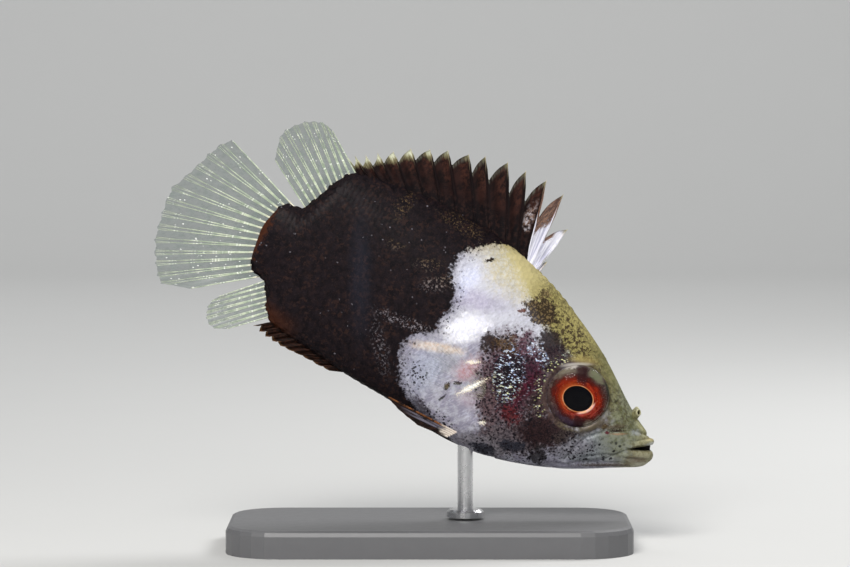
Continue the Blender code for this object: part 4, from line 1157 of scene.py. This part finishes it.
    # Round the eye
    ds, dh = g.minus(exact[0], EYE_STATION), g.minus(exact[2], EYE_HEIGHT)
    radius = g.far(ds, dh)
    rear = g.times(g.soft(radius, 4.35, 4.6), g.soft(radius, 6.1, 5.3))
    rear = g.times(g.times(rear, g.soft(ds, 2.2, 3.4)), g.soft(exact[2], -4.4, -2.8))
    gold = g.times(rear, g.soft(g.cells(slanted, 4.2), 0.42, 0.28))
    gold = g.times(gold, g.soft(g.noise(place, 2.3, 2), 0.42, 0.50))
    gilt = g.two(grain, 0.42, 0.58, (0.36, 0.36, 0.10), (0.84, 0.80, 0.46))
    gilt = g.over(gilt, g.soft(speck, 0.50, 0.58), 0.7, (0.50, 0.64, 0.74))
    colour = g.over(colour, gold, 0.92, gilt)
    orbit = g.times(g.soft(radius, 4.85, 4.45), g.soft(radius, 3.9, 4.1))
    rim_tint = g.two(ds, -1.0, 1.5, (0.150, 0.132, 0.068), (0.082, 0.052, 0.046))
    rim_tint = g.over(rim_tint, g.soft(speck, 0.44, 0.56), 0.75, (0.030, 0.019, 0.018))
    colour = g.mix(g.times(orbit, g.muladd(g.soft(ds, -2.0, 1.0), 0.45, 0.35)), colour, rim_tint)
    # Painted highlight: a thin cream arc on the upper rear rim of the eye socket
    brow_highlight = g.times(g.soft(radius, 4.75, 4.35), g.blob(here, (13.7, 5.12), (1.8, 0.24), -30, 0.6))
    colour = g.over(colour, brow_highlight, 0.75, (0.54, 0.50, 0.46))
    lid = g.times(g.soft(radius, 5.5, 4.9), g.blob(here, (13.0, 6.2), (1.9, 0.5), -20, 0.6))
    colour = g.over(colour, lid, 0.55, (0.34, 0.27, 0.10))

    # Edge of the dark rear half
    behind = g.minus(parts[0], g.curve(parts[2], DARK_EDGE, (-12.0, 16.0), (15.0, 36.0)))
    smoke = g.soft(g.muladd(ragged, 1.6, behind), -2.2, 0.4)
    haze = g.two(speck, 0.4, 0.6, (0.090, 0.085, 0.115), (0.230, 0.225, 0.280))
    fringe = g.two(speck, 0.4, 0.6, (0.140, 0.100, 0.040), (0.420, 0.350, 0.170))
    colour = g.over(colour, smoke, 0.6, g.mix(g.soft(exact[2], 10.4, 12.2), haze, fringe))
    dark = g.soft(g.muladd(ragged, 1.1, g.muladd(dither, -1.2, behind)), -0.42, 0.34)
    crumbs = g.times(g.soft(g.cells(jitter, 2.6), 0.36, 0.26), g.soft(behind, -2.4, -0.6))
    crumbs = g.times(crumbs, g.soft(g.noise(place, 0.8, 2), 0.48, 0.56))
    dark = g.most(dark, g.times(crumbs, 0.85))

    # Dark rear half
    black = g.two(blotch, 0.35, 0.65, (0.0036, 0.0026, 0.0038), (0.0094, 0.0062, 0.0080))
    brown = g.soft(g.noise(place, 1.9, 4, 0.68), 0.50, 0.60)
    brown = g.times(brown, g.muladd(g.soft(g.noise(place, 0.5, 3), 0.42, 0.60), 0.65, 0.30))
    black = g.mix(brown, black, (0.023, 0.0115, 0.0098))
    black = g.over(black, g.soft(grain, 0.55, 0.64), 0.28, (0.038, 0.025, 0.026))
    rusty = g.most(
        g.soft(g.muladd(ragged, 1.4, exact[0]), 56.4, 57.2),
        g.times(g.soft(exact[2], -6.0, -8.8), g.soft(exact[0], 46.0, 51.5)),
    )
    black = g.over(black, rusty, 0.6, (0.075, 0.022, 0.008))
    black = g.over(black, g.blob(flat, (43.3, 1.8), (6.5, 1.2), 62, 0.8), 0.22, (0.026, 0.032, 0.052))
    chips = g.times(g.soft(g.noise(place, 3.3, 4, 0.7), 0.535, 0.60), ovals(CHIPPED))
    black = g.over(black, chips, 0.62, g.two(exact[2], 3.0, 9.0, (0.30, 0.27, 0.30), (0.20, 0.130, 0.062)))
    black = g.over(black, scatter(jitter, 0.9, (0.12, 0.07), 0.35, (0.48, 0.56)), 0.4, (0.30, 0.28, 0.32))
    colour = g.mix(dark, colour, black)
    for row in GLINTS:
        colour, _ = mark(colour, row)

    # Painted shade: near black inside the mouth slit
    inside = g.soft(g.attribute("mouth", vector=False), 0.25, 0.75)
    colour = g.mix(inside, colour, (0.014, 0.010, 0.010))
    bright = g.less(g.less(g.less(g.minus(1.0, dark, clamp=True), dark_near), olive), snout)
    rough = g.muladd(grain, 0.14, g.minus(g.muladd(bright, -0.26, 0.62), 0.07))
    g.put(g.shader.inputs["Coat Weight"], 0.02)
    g.put(g.shader.inputs["Coat Roughness"], 0.20)
    ripple = g.node("ShaderNodeBump")
    g.put(ripple.inputs["Strength"], 0.35)
    g.put(ripple.inputs["Distance"], 0.00006)
    g.put(ripple.inputs["Height"], g.noise(place, 6.0, 5, 0.7))
    g.put(g.shader.inputs["Normal"], ripple.outputs["Normal"])
    return g.done(colour, rough, 0.06, metallic=g.times(bright, 0.25))


def coat_material(name, skin_looks):
    """The skin's markings, with a tone of its own for each scale and a darker rim."""
    g = Graph(name, skin_looks)
    shade = g.muladd(g.attribute("tone", vector=False), 0.14, 0.93)
    shade = g.times(shade, g.muladd(g.attribute("rim", vector=False), -0.14, 1.04))
    socket = g.shader.inputs["Base Color"]
    g.put(socket, g.vector("SCALE", socket.links[0].from_socket, scale=shade))
    return g.material


def dark_fin_material(name, spines=False):
    """Folded red-brown skin with painted shade in the folds between lobes, pale tips, and the white front of the back
    fin.
    """
    g = Graph(name)
    order, reach, web = g.split(g.attribute("fin"))
    tip = g.attribute("tip", vector=False)
    place = g.attribute("place")
    across = g.plus(order, web)
    cloud = g.noise(g.join(across, g.times(reach, 4.0), 0.0), 1.1, 4, 0.65)
    fine = g.noise(g.join(g.times(across, 5.0), g.times(reach, 14.0), 0.0), 1.0, 5, 0.7)
    streak = g.noise(g.join(g.times(across, 9.0), g.times(reach, 2.0), 0.0), 1.0, 3, 0.6)
    colour = g.two(cloud, 0.35, 0.65, (0.0062, 0.0034, 0.0034), (0.021, 0.0084, 0.0070))
    flame = g.times(g.soft(web, 0.62, 0.30), g.soft(web, 0.0, 0.12))
    flame = g.times(flame, g.times(g.soft(reach, 0.35, 0.75), g.soft(fine, 0.42, 0.60)))
    colour = g.over(colour, flame, 0.6, (0.062, 0.023, 0.015))
    # Painted shade: darker in the folds between the lobes
    groove_shade = g.most(g.soft(web, 0.72, 0.88), g.soft(web, 0.10, 0.0))
    colour = g.over(colour, groove_shade, 0.75, (0.006, 0.0035, 0.004))
    deep = g.soft(g.pushed(reach, cloud, 0.5), 0.62, 0.22)
    brown = g.times(g.soft(g.noise(place, 1.9, 4, 0.68), 0.48, 0.60), 0.8)
    colour = g.over(colour, deep, 0.9, g.mix(brown, (0.0044, 0.0031, 0.0040), (0.025, 0.0120, 0.0100)))
    smoky = g.times(g.soft(reach, 0.90, 0.98), g.soft(streak, 0.35, 0.6))
    colour = g.over(colour, smoky, 0.6, (0.13, 0.13, 0.10))

    def lobe_number(k):
        return g.soft(g.size(g.minus(order, k)), 0.6, 0.4)

    lobe_white = g.soft(g.pushed(order, cloud, 1.0), 2.75, 2.35)
    bands = g.two(streak, 0.38, 0.62, (0.46, 0.46, 0.58), (0.80, 0.80, 0.87))
    upper = g.pushed(reach, fine, 0.5)
    brown_top = g.most(
        g.times(lobe_number(2.0), g.soft(upper, 0.56, 0.66)),
        g.times(g.times(lobe_number(1.0), g.soft(upper, 0.80, 0.88)), g.soft(web, 0.3, 0.5)),
    )
    pale = g.mix(brown_top, bands, g.two(fine, 0.4, 0.6, (0.075, 0.032, 0.022), (0.20, 0.11, 0.075)))
    colour = g.mix(lobe_white, colour, pale)
    third = g.times(lobe_number(3.0), g.times(g.soft(web, 0.92, 0.60), g.soft(web, 0.0, 0.25)))
    chalk = g.noise(place, 1.3, 4, 0.62)
    spread = g.pushed(reach, chalk, 0.8)
    patch = g.times(third, g.times(g.soft(spread, 0.42, 0.58), g.soft(spread, 0.86, 0.68)))
    patch = g.times(patch, g.soft(chalk, 0.38, 0.58))
    colour = g.over(colour, patch, 0.80, g.two(fine, 0.42, 0.60, (0.22, 0.125, 0.085), (0.56, 0.53, 0.57)))

    size = g.times(g.muladd(g.soft(order, 6.0, 11.0), 0.75, 0.55), g.muladd(cloud, 0.8, 0.6))
    ends = g.minus(tip, g.pushed(size, streak, 1.4))
    end_tint = g.two(ends, -0.05, -0.75, (0.215, 0.195, 0.105), (0.64, 0.66, 0.50))
    colour = g.over(colour, g.soft(ends, 0.50, -0.35), 0.92, end_tint)
    clear = None
    if spines:
        colour = g.over(colour, g.soft(tip, 2.6, 0.5), 0.5, (0.50, 0.40, 0.26))
    else:
        clear = g.muladd(g.most(g.times(lobe_white, g.soft(reach, 0.15, 0.5)), g.times(smoky, 0.8)), -0.25, 1.0)
    return g.done(colour, 0.64, 0.07, clear)


def plain_dark_fin(name):
    """The folded fin under the belly: nearly black, with an orange-brown edge."""
    g = Graph(name)
    order, reach, web = g.split(g.attribute("fin"))
    cloud = g.noise(g.join(g.times(g.plus(order, web), 3.0), g.times(reach, 5.0), 0.0), 1.2, 4, 0.65)
    colour = g.two(cloud, 0.4, 0.65, (0.007, 0.0045, 0.004), (0.034, 0.013, 0.008))
    rim = g.soft(g.plus(reach, g.times(g.minus(cloud, 0.5), 0.2)), 0.86, 0.97)
    return g.done(g.over(colour, rim, 0.5, (0.15, 0.075, 0.030)), 0.64, 0.07)


def pelvic_material(name):
    """Nearly black, with a pale root, a lavender band and an orange front edge, which is partly its own colour and
    partly painted light.
    """
    g = Graph(name)
    order, reach, _ = g.split(g.attribute("fin"))
    cloud = g.noise(g.join(g.times(order, 2.0), g.times(reach, 6.0), 0.0), 1.2, 4, 0.65)
    colour = g.two(cloud, 0.4, 0.65, (0.0060, 0.0040, 0.0040), (0.028, 0.0125, 0.0090))
    # The orange upper edge: partly the fin's own colour, partly painted light on the lit edge
    upper = g.times(g.soft(order, 0.45, 0.10), g.soft(cloud, 0.38, 0.58))
    colour = g.over(colour, upper, 0.75, (0.24, 0.090, 0.032))
    band = g.times(g.soft(order, 0.7, 1.1), g.soft(order, 2.5, 1.9))
    streak = g.noise(g.join(g.times(order, 6.0), g.times(reach, 3.0), 0.0), 1.2, 3, 0.6)
    band = g.times(band, g.times(g.soft(reach, 0.95, 0.55), g.soft(streak, 0.36, 0.56)))
    colour = g.over(colour, band, 0.8, (0.170, 0.160, 0.205))
    root = g.soft(g.plus(reach, g.times(g.minus(streak, 0.5), 0.45)), 0.22, 0.04)
    return g.done(g.over(colour, root, 0.85, (0.70, 0.62, 0.54)), 0.60, 0.10)


def clear_ray_material(name, strength=1.0):
    """Pale green-grey rays with a bright bead at some of the joints."""
    g = Graph(name)
    order, reach, beat = g.split(g.attribute("fin"))
    cloud = g.noise(g.join(order, g.times(reach, 8.0), 0.0), 1.4, 3)
    colour = g.two(cloud, 0.35, 0.65, (0.33, 0.40, 0.29), (0.56, 0.62, 0.46))
    some = g.noise(g.join(g.times(order, 3.0), g.times(reach, 9.0), 3.0), 1.0, 2)
    colour = g.mix(g.times(beat, g.soft(some, 0.52, 0.60)), colour, (0.95, 0.97, 0.90))
    colour = g.over(colour, g.soft(reach, 0.09, 0.0), 0.8, (0.80, 0.74, 0.58))
    see = g.times(g.muladd(g.soft(reach, 0.4, 1.0), -0.25, 0.95), strength)
    return g.done(colour, 0.35, alpha=see)


def clear_web_material(name, most=0.50):
    """Smoky clear skin between the rays, denser at the root, with small scattered flecks."""
    g = Graph(name)
    order, reach, _ = g.split(g.attribute("fin"))
    spot = g.join(g.times(order, 1.6), g.times(reach, 8.0), 0.0)
    cloud = g.noise(spot, 1.3, 4, 0.6)
    colour = g.two(cloud, 0.35, 0.7, (0.018, 0.046, 0.038), (0.056, 0.104, 0.080))
    fleck = g.soft(g.cells(g.vector("SCALE", spot, scale=1.5), 1.0), 0.15, 0.09)
    colour = g.mix(fleck, colour, (0.85, 0.88, 0.82))
    see = g.muladd(g.soft(reach, 0.35, 0.0), 0.18, most * 0.8)
    see = g.muladd(g.soft(cloud, 0.4, 0.7), 0.12, see)
    see = g.muladd(fleck, 0.35, see)
    if most < FAINT_WEB:
        see = g.times(see, most / FULL_WEB)
    return g.done(colour, 0.3, alpha=see)


def eye_material(name):
    """Red iris crossed by a dark bar above and below the pupil, with a thin gold ring and a smoky outer ring."""
    g = Graph(name)
    x, y, far = g.split(g.attribute("eye"))
    tilt = math.radians(PUPIL_TILT)
    cos, sin = math.cos(tilt), math.sin(tilt)
    px, py = g.minus(x, PUPIL_OFF[0]), g.minus(y, PUPIL_OFF[1])
    ux = g.math("DIVIDE", g.muladd(px, cos, g.times(py, sin)), PUPIL_SIZE[0])
    uy = g.math("DIVIDE", g.muladd(px, -sin, g.times(py, cos)), PUPIL_SIZE[1])
    pupil = g.far(ux, uy)
    cloud = g.noise(g.join(x, y, 0.0), 1.1, 3, 0.6)
    fine = g.noise(g.join(x, y, 4.0), 3.2, 4, 0.65)
    iris = g.far(*(g.math("DIVIDE", g.minus(v, IRIS_OFF[k]), IRIS_SIZE[k]) for k, v in enumerate((x, y))))
    iris = g.pushed(g.pushed(iris, cloud, 0.34), fine, 0.16)
    turn = g.math("ARCTAN2", uy, ux)
    sweep = g.noise(g.join(g.math("SINE", turn), g.math("COSINE", turn), g.times(pupil, 3.0)), 1.6, 4, 0.65)
    colour = g.two(sweep, 0.36, 0.64, (0.088, 0.005, 0.003), (0.300, 0.022, 0.006))
    warm = g.times(g.soft(pupil, 1.50, 1.05), g.soft(g.muladd(x, 0.25, sweep), 0.35, 0.95))
    colour = g.over(colour, warm, 0.50, (0.48, 0.088, 0.018))
    # Painted glint: a pink sheen on the lower front of the iris
    pink_glint = g.times(g.soft(g.muladd(x, -0.6, g.times(y, -0.8)), 1.3, 2.2), g.soft(sweep, 0.44, 0.60))
    colour = g.over(colour, pink_glint, 0.3, (0.46, 0.10, 0.09))
    colour = g.over(colour, g.soft(fine, 0.56, 0.66), 0.22, (0.58, 0.18, 0.07))

    # Outer ring
    outer = g.far(x, y)
    ring_out = g.two(cloud, 0.42, 0.58, (0.046, 0.029, 0.028), (0.125, 0.086, 0.076))
    beige = g.times(g.soft(x, -1.6, -3.0), g.soft(y, 2.0, 0.6))
    beige_tint = g.two(fine, 0.4, 0.6, (0.105, 0.092, 0.066), (0.205, 0.178, 0.135))
    ring_out = g.over(ring_out, beige, 0.85, beige_tint)
    line = g.soft(g.size(g.minus(outer, 3.90)), 0.07, 0.02)
    line = g.most(line, g.times(g.soft(g.size(g.minus(outer, 3.62)), 0.06, 0.02), 0.7))
    ring_out = g.over(ring_out, g.times(line, beige), 0.75, (0.42, 0.38, 0.31))
    for centre, radii, slope, share, tint in RING_MARKS_AND_HIGHLIGHT:
        patch = g.blob((x, y), centre, radii, slope, 0.40, g.muladd(fine, 2.4, -1.1))
        ring_out = g.over(ring_out, patch, share, tint)
    shade = g.times(g.soft(iris, 0.74, 0.97), g.soft(iris, 1.20, 1.02))
    colour = g.mix(g.soft(iris, 0.93, 1.08), colour, ring_out)
    colour = g.over(colour, shade, 0.7, (0.042, 0.010, 0.008))

    # Bar, gold ring and pupil
    bar_line = g.size(g.plus(g.muladd(y, -0.42, g.times(x, 0.91)), 0.34))
    bar = g.soft(g.pushed(bar_line, fine, 0.8), 1.00, 0.35)
    bar = g.times(bar, g.most(g.soft(y, 1.25, 2.0), g.soft(y, -1.9, -2.4)))
    colour = g.over(colour, bar, 0.85, (0.024, 0.008, 0.009))
    edge = g.soft(pupil, 0.985, 1.01)
    ring = g.times(g.times(edge, g.soft(pupil, 1.085, 1.035)), 0.70)
    colour = g.mix(ring, colour, g.two(cloud, 0.4, 0.6, (0.62, 0.24, 0.07), (0.80, 0.48, 0.24)))
    low = g.soft(g.muladd(ux, -0.80, g.times(uy, -0.60)), 0.80, 1.00)
    glint = g.times(low, g.times(edge, g.soft(pupil, 1.25, 1.09)))
    colour = g.over(colour, glint, 0.9, g.two(sweep, 0.45, 0.55, (1.0, 0.56, 0.30), (1.0, 0.62, 0.60)))
    colour = g.mix(g.soft(pupil, 1.01, 0.985), colour, (0.0025, 0.0025, 0.0035))
    wall = g.two(cloud, 0.4, 0.6, (0.062, 0.050, 0.026), (0.135, 0.115, 0.058))
    return g.done(g.mix(g.soft(far, 3.72, 3.35), colour, wall), 0.40, 0.03)


def cornea_material(name):
    """Clear and wet."""
    g = Graph(name)
    g.put(g.shader.inputs["IOR"], 1.6)
    return g.done((0.004, 0.004, 0.004), 0.03, 0.20, 0.10)


def nostril_material(name):
    """Olive at the foot of the tube, cream at its rim, and painted shade inside it."""
    g = Graph(name)
    reach = g.attribute("reach", vector=False)
    cloud = g.noise(g.attribute("place"), 3.0, 3, 0.6)
    foot = g.two(cloud, 0.4, 0.6, (0.125, 0.115, 0.052), (0.210, 0.200, 0.105))
    colour = g.mix(g.soft(reach, 0.45, 0.95), foot, (0.400, 0.385, 0.240))
    # Painted shade: darker just inside the rim and near black deep in the tube
    colour = g.mix(g.soft(reach, 1.05, 1.30), colour, (0.120, 0.108, 0.050))
    colour = g.mix(g.soft(reach, 1.30, 1.90), colour, (0.034, 0.030, 0.014))
    return g.done(colour, 0.5, 0.2)


def stand_material(name, colour, roughness, metallic, scale):
    """Paint or metal with a faint cloud in it."""
    g = Graph(name)
    cloud = g.noise(g.node("ShaderNodeTexCoord").outputs["Object"], scale, 4, 0.6)
    low = tuple(c * 0.94 for c in colour)
    high = tuple(min(c * 1.06, 1.0) for c in colour)
    return g.done(g.mix(cloud, low, high), g.muladd(cloud, 0.12, roughness - 0.06), metallic=metallic)


# Eyes


def turned(profile, side):
    """A surface turned about the eye's crosswise axis. Gives points, faces and each point's place across the eye."""
    angle = 2 * math.pi * np.arange(EYE_STEPS) / EYE_STEPS
    radius = np.array([p[0] for p in profile])[:, None]
    far = np.array([p[1] for p in profile])[:, None]
    x = radius * np.cos(angle)[None]
    y = radius * np.sin(angle)[None]
    points = np.stack([EYE_STATION + x, side * far + 0 * x, EYE_HEIGHT + y], -1)
    faces = grid_faces(len(profile), EYE_STEPS, wrap=True)
    spot = np.stack([x, y, far + 0 * x], -1)
    return points.reshape(-1, 3), faces[:, ::side], spot.reshape(-1, 3)


def build_eye(name, side, ball_looks, cornea_looks):
    """The painted ball under a clear cornea."""
    points, faces, spot = turned(EYE_BALL, side)
    eyeball = new_mesh(name, points, faces, {"eye": spot}, ball_looks)
    dome = [CORNEA_FOOT]
    for part in np.linspace(0.05, 1.0, 18):
        angle = part * math.pi / 2
        across = CORNEA_RADIUS * math.cos(angle) ** CORNEA_ROUNDNESS + 0.01
        dome.append((across, CORNEA_BASE + CORNEA_RISE * math.sin(angle)))
    points, faces, _ = turned(dome, side)
    return eyeball, new_mesh(name + "_cornea", points, faces, None, cornea_looks)


def nostril(side):
    """A short open tube beside the snout, as points and faces."""
    station, across, height = NOSTRIL_AT
    axis = np.array([NOSTRIL_LEAN[0], NOSTRIL_LEAN[1] * side, NOSTRIL_LEAN[2]])
    axis /= np.linalg.norm(axis)
    first = np.cross(axis, (0.0, 1.0, 0.0))
    first /= np.linalg.norm(first)
    second = np.cross(axis, first)
    angle = 2 * math.pi * np.arange(NOSTRIL_SIDES) / NOSTRIL_SIDES
    rows = []
    for radius, up, _ in NOSTRIL_PROFILE:
        slant = NOSTRIL_SLANT * np.cos(angle) * (up / NOSTRIL_LENGTH)
        ring = first[None] * np.cos(angle)[:, None] + second[None] * np.sin(angle)[:, None]
        rows.append(np.array([station, across * side, height]) + axis * (up - slant[:, None]) + ring * radius)
    reach = np.repeat([share for _, _, share in NOSTRIL_PROFILE], NOSTRIL_SIDES)
    return np.concatenate(rows), grid_faces(len(rows), NOSTRIL_SIDES, wrap=True), reach


# Putting it together

FLESH = ("head", "upper_jaw", "lower_jaw", "opercle_right", "opercle_left", "trunk", "tail_base")
SIDES = ((-1, "right"), (1, "left"))


def keep(obj, nodes, slot_name):
    """Keeps a piece that moves with the only body and, where it has nodes, takes their place."""
    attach(obj, "root")
    if nodes:
        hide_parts(*nodes)


def keep_fin(pieces, node, slot_name, standing_in=0):
    """Keeps the two pieces of a fin, one of which takes the place of its node."""
    for k, piece in enumerate(pieces):
        keep(piece, (node,) if k == standing_in else (), slot_name)


def body_area(s, h):
    """Where the large scales grow: behind the gill cover and along the nape."""
    _, which, _ = line_distance(s, h, GILL_LINE)
    behind = (which > 0) | (s > 26.5) | (h > 8.2)
    return behind & (s > 14.0 + 0.9 * np.maximum(13.0 - h, 0)) | (s > 27.0)


def cheek_area(s, h):
    """Where the small scales grow: on the gill cover and the cheek, clear of the eye."""
    away, which, _ = line_distance(s, h, GILL_LINE)
    radius = np.hypot(s - EYE_STATION, h - EYE_HEIGHT)
    ahead = (which < 0) & (s < 26.0) & (away > 0.25)
    return ahead & (radius > 5.2) & (s > 9.5) & (h < 8.0) & (h > -9.5)


def rim_roots(edge, ends, sink):
    """The roots of a fin's rays, just inside the ridge of the back or the belly."""
    line = [rim_point(edge, s, -sink) for s in np.linspace(*ends, 12)]
    return lambda share: along(line, share)


def line_roots(line, sink):
    """The roots of a fin's rays along a line, moved forward into the body."""
    line = [np.array(p) - np.array([sink, 0.0]) for p in line]
    return lambda share: along(line, share)


skin_looks = skin_material("fish_skin")
scale_looks = coat_material("fish_scales", skin_looks)
stations, points, normal, place = skin_grid()
skin = build_skin(points, place, skin_looks)
where = np.empty(len(skin.data.vertices) * 3, np.float32)
skin.data.attributes["place"].data.foreach_get("vector", where)
s, _, h = where.reshape(-1, 3).T
top, bottom = mouth_edges(s)
mouth = smooth(-0.02, 0.12, np.minimum(top - h, h - bottom)) * (1 - smooth(1.9, 2.5, s))
layer = skin.data.attributes.new("mouth", "FLOAT", "POINT")
layer.data.foreach_set("value", mouth.astype(np.float32))
keep(skin, FLESH, "skin_dark")

surface = Surface(stations, points, normal, place)
for name, coat, area, slot_name in (
    ("body_scales", BODY_COAT, body_area, "skin_dark"),
    ("cheek_scales", CHEEK_COAT, cheek_area, "skin_pale"),
):
    roots = scale_roots(surface, coat, area)
    keep(build_scales(name, surface, roots, coat, scale_looks), (), slot_name)

bundle = Bundle()
for side, _ in SIDES:
    verts, faces, reach = nostril(side)
    bundle.add(verts, faces, place=verts, reach=reach)
keep(bundle.mesh("nostril_tubes", nostril_material("nostril_skin")), (), "skin_pale")

ball_looks = eye_material("eye_ball")
cornea_looks = cornea_material("eye_cornea")
for side, label in SIDES:
    eyeball, cornea = build_eye("eyeball_" + label, side, ball_looks, cornea_looks)
    keep(eyeball, ("eye_" + label,), "eye")
    keep(cornea, (), "eye")

clear_looks = (clear_ray_material("clear_rays"), clear_web_material("clear_web"))
dark_web = dark_fin_material("back_fin_skin")
dark_spine = dark_fin_material("back_fin_spines", spines=True)
belly_looks = plain_dark_fin("belly_fin_skin")
pelvic_looks = pelvic_material("pelvic_fin_skin")

fins = spiny_fin("dorsal_spiny", BACK, BACK_SPINES, (dark_spine, dark_web), deeper=0.94)
keep_fin(fins, "dorsal_fin_spiny", "fin_dark", 1)
fins = spiny_fin("anal_spiny", BELLY, BELLY_SPINES, (belly_looks, belly_looks), spine=0.2, thick=0.3, deeper=1.09)
keep_fin(fins, "anal_fin_spiny", "fin_dark", 1)

for name, line, tips, sway, node in (
    ("dorsal_soft", rim_roots(BACK, SOFT_BACK_ROOT, 0.3), SOFT_BACK_TIPS, SOFT_BACK_SWAY, "dorsal_fin_soft"),
    ("caudal", line_roots(TAIL_ROOT, 0.55), TAIL_TIPS, TAIL_SWAY, "caudal_fin"),
    ("anal_soft", rim_roots(BELLY, SOFT_BELLY_ROOT, 0.3), SOFT_BELLY_TIPS, SOFT_BELLY_SWAY, "anal_fin_soft"),
):
    keep_fin(fan_fin(name, line, tips, upright(sway), clear_looks), node, "fin_clear")

faint_looks = (clear_ray_material("pectoral_rays", 0.10), clear_web_material("pectoral_web", 0.05))
dark_looks = (pelvic_looks, pelvic_looks)
for side, label in SIDES:
    for name, root, tips, spread, looks, ray, branch, slot_name in (
        ("pectoral", PECTORAL_ROOT, PECTORAL_TIPS, PECTORAL_SPREAD, faint_looks, 0.055, True, "fin_clear"),
        ("pelvic", PELVIC_ROOT, PELVIC_TIPS, PELVIC_SPREAD, dark_looks, 0.13, False, "fin_dark"),
    ):
        place_fin = beside(side, spread, root[0])
        fins = fan_fin(f"{name}_{label}", line_roots(root, 0.1), tips, place_fin, looks, ray, branch)
        keep_fin(fins, f"{name}_fin_{label}", slot_name)

looks_of_stand = {
    "stand_base": stand_material("stand_paint", (0.115, 0.115, 0.12), 0.45, 0.0, 900.0),
    "stand_rod": stand_material("stand_steel", (0.60, 0.60, 0.61), 0.28, 1.0, 600.0),
}
for node, looks in looks_of_stand.items():
    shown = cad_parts[node]
    shown.data.materials.clear()
    shown.data.materials.append(looks)

# Studio

FLOOR_COLOUR = (0.56, 0.56, 0.55)
FLOOR_AHEAD = 1500.0
FLOOR_BEHIND = 700.0
FLOOR_SIDE = 1500.0
WALL_BEND = 300.0
WALL_HEIGHT = 1400.0
CAMERA_LIFT = 3.0
CAMERA_LENS = 160.0
SENSOR = 36.0
VIEW_WIDTH = 109.5
VIEW_CENTRE = (-0.60, 0.0, 33.98)
AIM = (0.0, 0.0, 32.0)
# Place, aim, size, power and colour
LIGHTS = {
    "key": ((-90.0, -330.0, 300.0), AIM, (190.0, 150.0), 2.05, (1.0, 0.98, 0.95)),
    "front": ((90.0, -620.0, 270.0), AIM, (200.0, 180.0), 0.34, (0.96, 0.98, 1.0)),
    "rim": ((220.0, 160.0, 300.0), AIM, (160.0, 160.0), 1.0, (1.0, 1.0, 1.0)),
    "backdrop": ((0.0, 380.0, 650.0), (0.0, 1000.0, 60.0), (900.0, 160.0), 3.6, (1.0, 1.0, 1.0)),
}
WORLD_COLOUR = (0.90, 0.94, 1.0, 1.0)
WORLD_STRENGTH = 0.24


def build_floor():
    """A floor that curves up into a backdrop behind the model."""
    rows = [(-FLOOR_AHEAD, 0.0), (FLOOR_BEHIND, 0.0)]
    for k in range(1, 25):
        angle = math.pi / 2 * k / 24
        rows.append((FLOOR_BEHIND + WALL_BEND * math.sin(angle), WALL_BEND * (1 - math.cos(angle))))
    rows.append((FLOOR_BEHIND + WALL_BEND, WALL_HEIGHT))
    verts, faces = [], []
    for y, z in rows:
        verts += [(-FLOOR_SIDE * MM, y * MM, z * MM), (FLOOR_SIDE * MM, y * MM, z * MM)]
    for k in range(len(rows) - 1):
        faces.append((2 * k, 2 * k + 1, 2 * k + 3, 2 * k + 2))
    mesh = bpy.data.meshes.new("floor")
    mesh.from_pydata(verts, [], faces)
    mesh.shade_smooth()
    g = Graph("floor_paper")
    cloud = g.noise(g.node("ShaderNodeTexCoord").outputs["Object"], 40.0, 3, 0.5)
    low = tuple(c * 0.985 for c in FLOOR_COLOUR)
    mesh.materials.append(g.done(g.mix(cloud, low, FLOOR_COLOUR), 0.75))
    obj = bpy.data.objects.new("floor", mesh)
    bpy.context.scene.collection.objects.link(obj)


def area_light(name, place, target, size, power, colour):
    """A rectangular lamp. Place, target and size are in millimetres."""
    light = bpy.data.lights.new(name, "AREA")
    light.shape = "RECTANGLE"
    light.size, light.size_y = size[0] * MM, size[1] * MM
    light.energy = power
    light.color = colour
    obj = bpy.data.objects.new(name, light)
    obj.location = [c * MM for c in place]
    aim = np.array(target, float) - np.array(place, float)
    obj.rotation_euler = Vector(aim).to_track_quat("-Z", "Y").to_euler()
    bpy.context.scene.collection.objects.link(obj)


def build_camera():
    """A long lens in front of the fish's right side, a little above it."""
    camera = bpy.data.cameras.new("camera")
    camera.lens = CAMERA_LENS
    camera.sensor_width = SENSOR
    camera.clip_start = 0.01
    camera.clip_end = 20.0
    obj = bpy.data.objects.new("camera", camera)
    away = VIEW_WIDTH * CAMERA_LENS / SENSOR
    lift = math.radians(CAMERA_LIFT)
    x, y, z = VIEW_CENTRE
    obj.location = (x * MM, (y - away * math.cos(lift)) * MM, (z + away * math.sin(lift)) * MM)
    obj.rotation_euler = (math.pi / 2 - lift, 0.0, 0.0)
    bpy.context.scene.collection.objects.link(obj)
    bpy.context.scene.camera = obj


build_floor()
for name, settings in LIGHTS.items():
    area_light(name, *settings)
world = bpy.data.worlds.new("studio")
world.use_nodes = True
world.node_tree.nodes["Background"].inputs["Color"].default_value = WORLD_COLOUR
world.node_tree.nodes["Background"].inputs["Strength"].default_value = WORLD_STRENGTH
bpy.context.scene.world = world
bpy.context.scene.view_settings.view_transform = "Standard"
build_camera()
